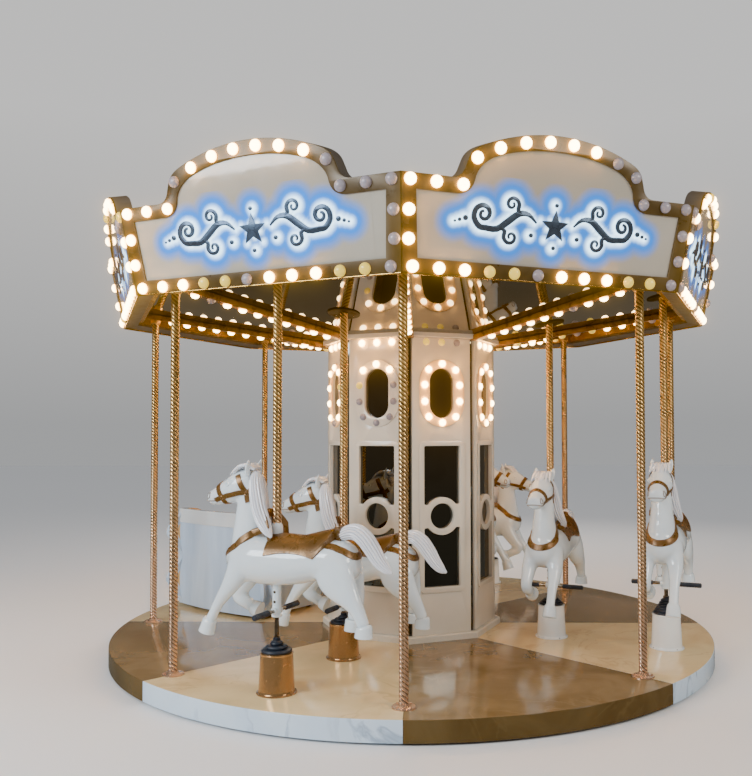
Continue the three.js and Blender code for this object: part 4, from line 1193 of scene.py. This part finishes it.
HOOVES = [[(355, 83, 482, 31, 33), (359, 83, 472, 36, 38), (362, 83, 463, 38, 38), (370, 83, 437, 41, 41),
           (378, 83, 413, 43, 44)],
          [(206, -84, 527, 31, 34), (199, -84, 524, 36, 38), (190, -84, 520, 38, 41), (176, -84, 514, 41, 44),
           (161, -84, 508, 43, 46)],
          [(-539, 80, 523, 31, 36), (-541, 80, 515, 36, 41), (-542, 80, 508, 38, 42), (-541, 80, 488, 41, 43),
           (-540, 80, 468, 43, 45)],
          [(-402, -80, 510, 31, 36), (-401, -80, 503, 36, 41), (-400, -80, 496, 38, 42),
           (-399, -80, 476, 41, 43), (-398, -80, 455, 43, 45)]]
SKIN_VOXEL, SKIN_EASING = 0.0097, 10
MILLIMETRE = 0.001


def loft(rows, sides, steps=5, across=(0, 1, 0), section=None):
    """Oval sections square to a smooth path, closed at both ends. A section scales the radius by angle."""
    rows = smooth_rows(rows, steps) * MILLIMETRE
    centre, wide, deep = rows[:, :3], rows[:, 3], rows[:, 4]
    along = np.gradient(centre, axis=0)
    along /= np.linalg.norm(along, axis=1)[:, None]
    aside = np.array(across, float) - (along @ np.array(across, float))[:, None] * along
    aside /= np.linalg.norm(aside, axis=1)[:, None]
    upward = np.cross(along, aside)
    turn = 2 * math.pi * np.arange(sides) / sides
    reach = np.ones(sides) if section is None else section(turn)
    ring = (centre[:, None] + aside[:, None] * (wide[:, None] * np.cos(turn) * reach)[..., None]
            + upward[:, None] * (deep[:, None] * np.sin(turn) * reach)[..., None])
    return ring.reshape(-1, 3), ring_faces(len(rows), sides, True) + end_faces(len(rows), sides)


def blended_skin(limbs):
    """Closed limbs that run into one another, as one skin with soft joints."""
    holder = bpy.data.objects.new("limbs", build("limbs", [(*limb, 0) for limb in limbs], []))
    fusing = holder.modifiers.new("fuse", "REMESH")
    fusing.mode = "VOXEL"
    fusing.voxel_size = SKIN_VOXEL
    easing = holder.modifiers.new("ease", "SMOOTH")
    easing.factor = 0.5
    easing.iterations = SKIN_EASING
    return taken_from(holder)


def strands(count, depth):
    """A section with that many rounded strands round it and sharp grooves between them."""
    return lambda turn: 1 - depth * (1 - np.abs(np.sin(turn * count / 2)))


limbs = [loft(rows, 24) for rows in (TRUNK, NECK, HEAD, NEAR_FORE, FAR_FORE, NEAR_HIND, FAR_HIND)]
skin_points, skin_faces = blended_skin(limbs)
horse_surface = BVHTree.FromPolygons(skin_points, skin_faces)

hair_gloss = painted("hair_white", shade(240, 240, 242), shade(230, 231, 236), 3.0, 0.08, 0.18, 0.12,
                     coat=0.4)
tree = hair_gloss.node_tree
skin = tree.nodes["Principled BSDF"]
# Painted shade: the grooves between the strands are darkened to a purple grey, where shade falls.
painted_groove_shade = ranged(tree, shader(tree, "NewGeometry").outputs["Pointiness"], 0.43, 0.495, 1.0, 0.0)
hair_colour = skin.inputs["Base Color"].links[0].from_socket
feed(skin, Base_Color=mixed(tree, painted_groove_shade, hair_colour, shade(150, 142, 164)))
# Painted shade: grey strips mark the mouth line and nostrils, the creases where shade falls.
crease_shade_grey = painted("crease_shade_grey", shade(168, 162, 156), shade(150, 144, 138), 20.0, 0.2, 0.3, 0.0)


def ear(side):
    """A leaf-shaped ear, hollowed in front."""
    rows = [(155, side * 38, 1232, 17, 15), (152, side * 45, 1256, 19, 14), (146, side * 52, 1280, 16, 11),
            (140, side * 56, 1298, 10, 7), (136, side * 58, 1311, 2, 2)]
    return loft(rows, 20, 4, section=lambda turn: 1 - 0.62 * np.clip(np.cos(turn - math.pi / 2), 0, 1) ** 2)


def lock(across):
    """A lock of the forelock, falling over the brow, so far to the left of the middle line."""
    rows = [(124, 0.5 * across, 1262, 12, 9), (160, 0.8 * across, 1283, 13, 10), (203, across, 1276, 11, 9),
            (238, 1.12 * across, 1247, 6, 5), (252, 1.18 * across, 1232, 1.5, 1.5)]
    return loft(rows, 12, 4)


def eye(side):
    """A low eyeball on the cheek, and the almond line of the lid round it."""
    spot, normal, _, _ = horse_surface.find_nearest(Vector((0.270, side * 0.09, 1.195)))
    sideways = normal.cross(Vector((0.42, 0, 0.9))).normalized()
    upward = normal.cross(sideways)
    place = Matrix((sideways, upward, normal)).transposed().to_4x4()
    place.translation = spot - normal * 0.001
    profile = [(0.013 * math.cos(a), 0.007 * math.sin(a)) for a in np.linspace(-0.6, math.pi / 2, 7)]
    points, faces = revolved(profile, 16)
    lid = [spot + (0.019 * sideways * math.cos(t) + 0.0115 * upward * math.sin(t) * abs(math.sin(t)) ** 0.4)
           for t in np.linspace(0, 2 * math.pi, 24, endpoint=False)]
    return ([place @ point for point in points], faces), lid


def laid(path, width, height, closes=False, steps=4, sink=0.003, surface=horse_surface):
    """A strap that follows a surface under a path, its edges rounded, its ends square."""
    path = [tuple(point) for point in path]
    rows = smooth_rows([*path, path[0]] if closes else path, steps)
    if closes:
        rows = rows[:-1]
        along = np.roll(rows, -1, axis=0) - np.roll(rows, 1, axis=0)
    else:
        along = np.gradient(rows, axis=0)
    spans = (-1, -0.86, -0.45, 0, 0.45, 0.86, 1)
    heights = (0.45, 0.92, 1, 1, 1, 0.92, 0.45)
    points = []
    for point, direction in zip(rows, along):
        spot, normal, _, _ = surface.find_nearest(Vector(point))
        aside = normal.cross(Vector(direction)).normalized()
        upper, lower = [], []
        for span, share in zip(spans, heights):
            place, lean, _, _ = surface.find_nearest(spot + aside * (span * width / 2))
            upper.append(place + lean * height * share)
            lower.append(place - lean * sink)
        points += upper + lower[::-1]
    columns = 2 * len(spans)
    ends = [] if closes else end_faces(len(rows), columns)
    return points, ring_faces(len(rows), columns, True, closes) + ends


def nostril(side):
    rim = [(0.396 + 0.010 * math.cos(a), side * (0.036 + 0.004 * math.cos(a)), 1.118 + 0.013 * math.sin(a))
           for a in np.linspace(0, 2 * math.pi, 12, endpoint=False)]
    return laid(rim, 0.006, 0.004, True, 2)


def both_ways(path):
    """A path down the left side, from the middle line, and the same on the right side, as one path."""
    return [(x, -y, z) for x, y, z in reversed(path[1:])] + path


hair = [loft(MANE, 56, 4, (1, 0, 0), strands(14, 0.16)), loft(CREST, 48, 4, section=strands(12, 0.14)),
        loft(TAIL, 60, 4, section=strands(15, 0.14)), loft(FORELOCK, 48, 3, section=strands(12, 0.2)),
        *(lock(across) for across in LOCKS)]
hooves = [loft(rows, 20, 3) for rows in HOOVES]
eyes = [eye(1), eye(-1)]
eyelids = [laid(lid, 0.006, 0.004, True, 1) for _, lid in eyes]
# The mouth line and nostrils: grey strips that paint the shade in these creases.
mouth = both_ways([(0.412, 0, 1.095), (0.405, 0.034, 1.094), (0.372, 0.052, 1.090), (0.334, 0.052, 1.085)])
shaded_crease_strips = [laid(mouth, 0.007, 0.0035), nostril(-1), nostril(1)]
white_parts = [*hooves, ear(1), ear(-1), *(ball for ball, _ in eyes), *eyelids]
horse_parts = [(skin_points, skin_faces, 0)] + [(*part, 1) for part in hair]
horse_parts += [(*part, 0) for part in white_parts] + [(*part, 2) for part in shaded_crease_strips]
horse_mesh = build("horse_casting", horse_parts, [horse_gloss, hair_gloss, crease_shade_grey], 42)
for number, spot in lift_spots.items():
    stand(f"white_horse_{number}", horse_mesh, f"horse_{number}", [f"horse_{number}"],
          spot @ turned(180))


# Tack: saddle, pommel, chest strap, crupper and bridle, moulded on the horse and brushed with bronze paint.
# The saddle's edges are rows of a place along the horse and a height, in millimetres.
SADDLE_LOW = [(5, 833), (-60, 846), (-126, 851), (-200, 846), (-278, 831), (-332, 887), (-354, 922),
              (-383, 955)]
SADDLE_TOP = [(5, 934), (-67, 934), (-168, 930), (-251, 951), (-330, 970), (-383, 986)]
SADDLE_ROWS, SADDLE_COLUMNS = 42, 33
SADDLE_CLEAR, SADDLE_PROUD = 0.004, 0.003
POMMEL_ROWS, POMMEL_COLUMNS, POMMEL_RIBS = 15, 61, 3.5
POMMEL_LOW, POMMEL_HALF, POMMEL_SHOULDER, POMMEL_CROWN = 0.905, 0.097, 0.028, 0.127
STUD_RADIUS = 0.012

tack_bronze = painted("tack_bronze", shade(130, 94, 48), shade(106, 75, 36), 9.0, 0.26, 0.40, 0.25,
                      metal=0.35)


def trunk_at(x):
    """The trunk's centre height, half width and half depth at a place along it, in metres."""
    rows = smooth_rows(TRUNK, 8)[::-1] * MILLIMETRE
    return [np.interp(x, rows[:, 0], rows[:, column]) for column in (2, 3, 4)]


def rimmed(front, back, rows, columns):
    """Two grids of points, one over the other, with the faces of both and of the rim between them."""
    over = ring_faces(rows, columns, False)
    under = [tuple(corner + len(front) for corner in face[::-1]) for face in over]
    rim = [row * columns for row in range(rows)]
    rim += [(rows - 1) * columns + column for column in range(1, columns)]
    rim += [row * columns + columns - 1 for row in range(rows - 2, -1, -1)]
    rim += [column for column in range(columns - 2, 0, -1)]
    edge = [(a, b, b + len(front), a + len(front)) for a, b in zip(rim, rim[1:] + rim[:1])]
    return front + back, over + under + edge


def saddle():
    """A cloth and seat: a grid of arcs from the lower edge over the back, and the same sunk inside."""
    low_x, low_z = np.array(SADDLE_LOW[::-1]).T * MILLIMETRE
    high_x, high_z = np.array(SADDLE_TOP[::-1]).T * MILLIMETRE
    outer, inner = [], []
    for x in np.linspace(high_x[-1], high_x[0], SADDLE_ROWS):
        centre, wide, deep = trunk_at(x)
        wide, deep = wide + SADDLE_CLEAR, deep + SADDLE_CLEAR
        start = math.asin(min(0.97, max(-0.2, (np.interp(x, low_x, low_z) - centre) / deep)))
        raise_by = max(np.interp(x, high_x, high_z) - (centre + deep), SADDLE_PROUD)
        for angle in np.linspace(start, math.pi - start, SADDLE_COLUMNS):
            lift = raise_by * math.sin(angle) ** 2
            outer.append((x, (wide + SADDLE_PROUD) * math.cos(angle),
                          centre + (deep + SADDLE_PROUD) * math.sin(angle) + lift))
            inner.append((x, (wide - 0.012) * math.cos(angle), centre + (deep - 0.014) * math.sin(angle)))
    return rimmed(outer, inner, SADDLE_ROWS, SADDLE_COLUMNS)


def pommel():
    """A shield before the pole, curled back at its sides, its top a half oval, with upright ribs."""
    front, back = [], []
    for share in np.linspace(0, 1, POMMEL_ROWS):
        for side in np.linspace(-1, 1, POMMEL_COLUMNS):
            crown = math.sqrt(max(0.0, 1 - (abs(side) * 0.96) ** 2.6))
            height = POMMEL_LOW + (POMMEL_SHOULDER + POMMEL_CROWN * crown) * share
            y = POMMEL_HALF * side * (0.90 + 0.10 * share)
            x = 0.030 + 0.148 * (height - 0.925) - 0.042 * abs(side) ** 2.4
            rib = abs(math.sin(side * math.pi * POMMEL_RIBS)) ** 0.8
            edge = min(1.0, (1 - share) / 0.06 + 0.35) * min(1.0, (1 - abs(side)) / 0.05 + 0.35)
            front.append((x + (0.010 + 0.0035 * rib) * edge, y, height))
            back.append((x - 0.010 * edge, y, height))
    return rimmed(front, back, POMMEL_ROWS, POMMEL_COLUMNS)


def stud(x, y, z):
    """A round boss where straps cross."""
    spot, normal, _, _ = horse_surface.find_nearest(Vector((x, y, z)))
    place = normal.to_track_quat("Z", "Y").to_matrix().to_4x4()
    place.translation = spot
    profile = [(0, 0), (STUD_RADIUS, 0), (STUD_RADIUS, 0.006), (STUD_RADIUS * 0.75, 0.009),
               (STUD_RADIUS * 0.4, 0.0075), (0, 0.0105)]
    return revolved(profile, 20, place)


pommel_shape = pommel()
count = len(skin_points)
front_surface = BVHTree.FromPolygons(
    skin_points + [Vector(point) for point in pommel_shape[0]],
    skin_faces + [tuple(count + corner for corner in face) for face in pommel_shape[1]])
chest = both_ways([(0.296, 0, 0.822), (0.288, 0.045, 0.829), (0.262, 0.085, 0.850),
                   (0.212, 0.112, 0.884), (0.146, 0.112, 0.916), (0.092, 0.104, 0.944),
                   (0.048, 0.094, 0.962), (0.010, 0.090, 0.972)])
crupper = both_ways([(-0.492, 0, 0.848), (-0.486, 0.040, 0.854), (-0.462, 0.080, 0.880),
                     (-0.420, 0.100, 0.908), (-0.370, 0.102, 0.922), (-0.315, 0.102, 0.930)])
noseband = both_ways([(0.345, 0, 1.185), (0.342, 0.030, 1.170), (0.326, 0.055, 1.140), (0.308, 0.060, 1.107),
                      (0.303, 0.048, 1.078), (0.302, 0, 1.062)])
straps = [laid(chest, 0.040, 0.006, surface=front_surface), laid(crupper, 0.038, 0.006),
          laid(noseband, 0.030, 0.005)]
for side in (-1, 1):
    cheek = [(0.352, side * 0.056, 1.089), (0.308, side * 0.064, 1.107), (0.230, side * 0.080, 1.124),
             (0.153, side * 0.084, 1.140), (0.112, side * 0.072, 1.160)]
    brow = [(0.210, side * 0.062, 1.238), (0.178, side * 0.082, 1.185), (0.153, side * 0.086, 1.139),
            (0.139, side * 0.070, 1.093)]
    straps += [laid(cheek, 0.028, 0.006), laid(brow, 0.029, 0.005), stud(0.153, side * 0.095, 1.139),
               stud(0.308, side * 0.066, 1.107)]
saddle_shape = saddle()
saddle_surface = BVHTree.FromPolygons([Vector(point) for point in saddle_shape[0]], saddle_shape[1])
for side in (-1, 1):
    seat_line = [(-0.005, side * 0.112, 0.858), (-0.070, side * 0.118, 0.866), (-0.150, side * 0.118, 0.868),
                 (-0.225, side * 0.116, 0.866), (-0.280, side * 0.110, 0.870), (-0.325, side * 0.092, 0.910),
                 (-0.360, side * 0.066, 0.948)]
    straps.append(laid(seat_line, 0.009, 0.0035, sink=0.002, surface=saddle_surface))
tack_parts = [(*part, 0) for part in [saddle_shape, pommel_shape, *straps]]
tack_mesh = build("horse_tack", tack_parts, [tack_bronze], 38)
for number, spot in lift_spots.items():
    stand(f"bronze_tack_{number}", tack_mesh, f"horse_{number}", (), spot @ turned(180))


# Carriage: a moulded bench seat of thick glossy sheet on four black feet, x forward, y to its left. Its
# back bows out and has a proud lip, and its sides curl outward towards the back in two bulges. Inside it
# is painted warm gold for the lamplight that falls in it.
CARRIAGE_PLACE = moved(-1.245, 0.566, 0) @ turned(54.2)
CARRIAGE_BACK, CARRIAGE_FRONT, CARRIAGE_HALF = -0.325, 0.325, 0.431
CARRIAGE_WALL, CARRIAGE_LOW, CARRIAGE_TOP = 0.034, 0.140, 0.866
CARRIAGE_FLOOR = 0.025
LIP_DEPTH, LIP_PROUD = 0.104, 0.009
BACK_BOW, WING_FLARE, REAR_CURL = 0.042, 0.115, 0.060
CURL_START = -0.060
WING_ROWS, WING_COLUMNS, WHITE_EDGE = 49, 33, 2
BACK_GRID = 25
FOOT_PLACES = [(x, y) for x in (-0.240, 0.240) for y in (-0.370, 0.370)]
SEAT_TOP, BENCH_FRONT = 0.480, 0.090

carriage_white = streaked_finish("carriage_white", shade(208, 222, 236), shade(178, 196, 216), (5, 5, 0.7),
                                 0.08, 0.16)
carriage_lip = painted("carriage_lip", shade(222, 226, 226), shade(208, 213, 215), 3.0, 0.05, 0.12, 0.2,
                       coat=0.5)
# Painted lamplight: the inside and the floor are warm gold for the lamps' light that falls in them.
carriage_inside_lamplight = streaked_finish("carriage_inside_lamplight", shade(232, 190, 128), shade(214, 166, 100),
                                (4, 4, 0.8), 0.10, 0.2)
seat_cream = painted("seat_cream", shade(236, 218, 186), shade(222, 200, 164), 3.0, 0.1, 0.22, 0.2)


def bowed(x, y):
    return x - BACK_BOW * (1 - (y / CARRIAGE_HALF) ** 2)


def bulge_wave(z):
    """A wave that runs twice from 1 to -1 and back between the foot and the top of the side."""
    return math.cos(4 * math.pi * (z - CARRIAGE_LOW) / (CARRIAGE_TOP - CARRIAGE_LOW))


def flare_at(z):
    """How far the sides curl outward at the back, at a height."""
    return WING_FLARE * (0.62 - 0.38 * bulge_wave(z))


def wing(side):
    """A side sheet: rows of points along it, from its foot to its top edge, outside and inside."""
    corner = (CARRIAGE_FRONT, CARRIAGE_LOW + 0.130)
    top_edge = [(CARRIAGE_BACK, CARRIAGE_TOP), (CARRIAGE_BACK + 0.060, CARRIAGE_TOP)]
    top_edge += curl(top_edge[-1], (-0.110, CARRIAGE_TOP), (-0.020, 0.700), 10)
    top_edge += curl(top_edge[-1], (0.060, 0.560), (CARRIAGE_FRONT - 0.110, 0.520), 10)
    top_edge += curl(top_edge[-1], (CARRIAGE_FRONT, 0.470), corner, 12)
    foot_edge = [(CARRIAGE_BACK, CARRIAGE_LOW), (CARRIAGE_FRONT - 0.040, CARRIAGE_LOW)]
    foot_edge += curl(foot_edge[-1], (CARRIAGE_FRONT, CARRIAGE_LOW + 0.020), corner, 10)
    top_x, top_z = np.array(top_edge).T
    foot_x, foot_z = np.array(foot_edge).T
    outer, inner = [], []
    for share in np.linspace(0, 1, WING_ROWS):
        x = CARRIAGE_BACK + (CARRIAGE_FRONT - CARRIAGE_BACK) * math.sin(share * math.pi / 2)
        low, high = np.interp(x, foot_x, foot_z), np.interp(x, top_x, top_z)
        rearward = max(0.0, CURL_START - x) / (CURL_START - CARRIAGE_BACK)
        for z in np.linspace(low, high, WING_COLUMNS):
            flare = flare_at(z) * rearward ** 2
            rear = x - REAR_CURL * (0.5 - 0.5 * bulge_wave(z)) * (1 - share) ** 4
            outer.append((rear, side * (CARRIAGE_HALF + flare), z))
            inner.append((rear, side * (CARRIAGE_HALF - CARRIAGE_WALL + flare), z))
    return rimmed(outer, inner, WING_ROWS, WING_COLUMNS)


def curved_slab(x_back, x_front, half, low, high, rows=9, flared=False):
    """A slab whose back face bows backward, and its front face too where it lies behind x = 0."""
    back, front = [], []
    for share in np.linspace(-1, 1, BACK_GRID):
        for z in np.linspace(low, high, rows):
            y = share * (half + flare_at(z) if flared else half)
            back.append((bowed(x_back, y), y, z))
            front.append((bowed(x_front, y) if x_front < 0 else x_front, y, z))
    return rimmed(back, front, BACK_GRID, rows)


def two_sided(shape, grid_faces, white_beyond=0):
    """A sheet white outside and on its rim, lamplit gold inside but for the first of the inside's faces."""
    points, faces = shape
    split = grid_faces + white_beyond
    return [(points, faces[:split] + faces[2 * grid_faces:], 0), (points, faces[split:2 * grid_faces], 1)]


def carriage_shell():
    parts = []
    for side in (-1, 1):
        parts += two_sided(wing(side), (WING_ROWS - 1) * (WING_COLUMNS - 1), WHITE_EDGE * (WING_COLUMNS - 1))
    back = curved_slab(CARRIAGE_BACK, CARRIAGE_BACK + CARRIAGE_WALL, CARRIAGE_HALF, CARRIAGE_LOW,
                       CARRIAGE_TOP, BACK_GRID, True)
    parts += two_sided(back, (BACK_GRID - 1) ** 2)
    lip = curved_slab(CARRIAGE_BACK - LIP_PROUD, CARRIAGE_BACK + 0.010, CARRIAGE_HALF,
                      CARRIAGE_TOP - LIP_DEPTH, CARRIAGE_TOP + 0.0005, flared=True)
    floor_sheet = curved_slab(CARRIAGE_BACK + 0.002, CARRIAGE_FRONT - 0.040, CARRIAGE_HALF - 0.002,
                              CARRIAGE_LOW + 0.0005, CARRIAGE_LOW + CARRIAGE_FLOOR, 3)
    parts += [(*lip, 3), (*floor_sheet, 1)]
    rubber_foot = [(0, DECK_TOP + GAP), (0.019, DECK_TOP + GAP), (0.020, DECK_TOP + 0.003),
                   (0.018, CARRIAGE_LOW + 0.004), (0, CARRIAGE_LOW + 0.004)]
    parts += [(*revolved(rubber_foot, 24, moved(x, y, 0)), 2) for x, y in FOOT_PLACES]
    return build("carriage_body", parts, [carriage_white, carriage_inside_lamplight, rubber, carriage_lip], 40)


shell = stand("carriage_body", carriage_shell(), "carousel", ["carriage_shell"],
              CARRIAGE_PLACE)
eased(shell, 0.005, 3, 50)
clear = CARRIAGE_WALL + GAP
bench_shape = curved_slab(CARRIAGE_BACK + clear + 0.001, BENCH_FRONT, CARRIAGE_HALF - clear,
                          CARRIAGE_LOW + CARRIAGE_FLOOR + GAP, SEAT_TOP)
bench_mesh = build("carriage_seat", [(*bench_shape, 0)], [seat_cream], 40)
seat = stand("carriage_seat", bench_mesh, "carousel", ["carriage_bench"], CARRIAGE_PLACE)
eased(seat, 0.012, 4, 50)
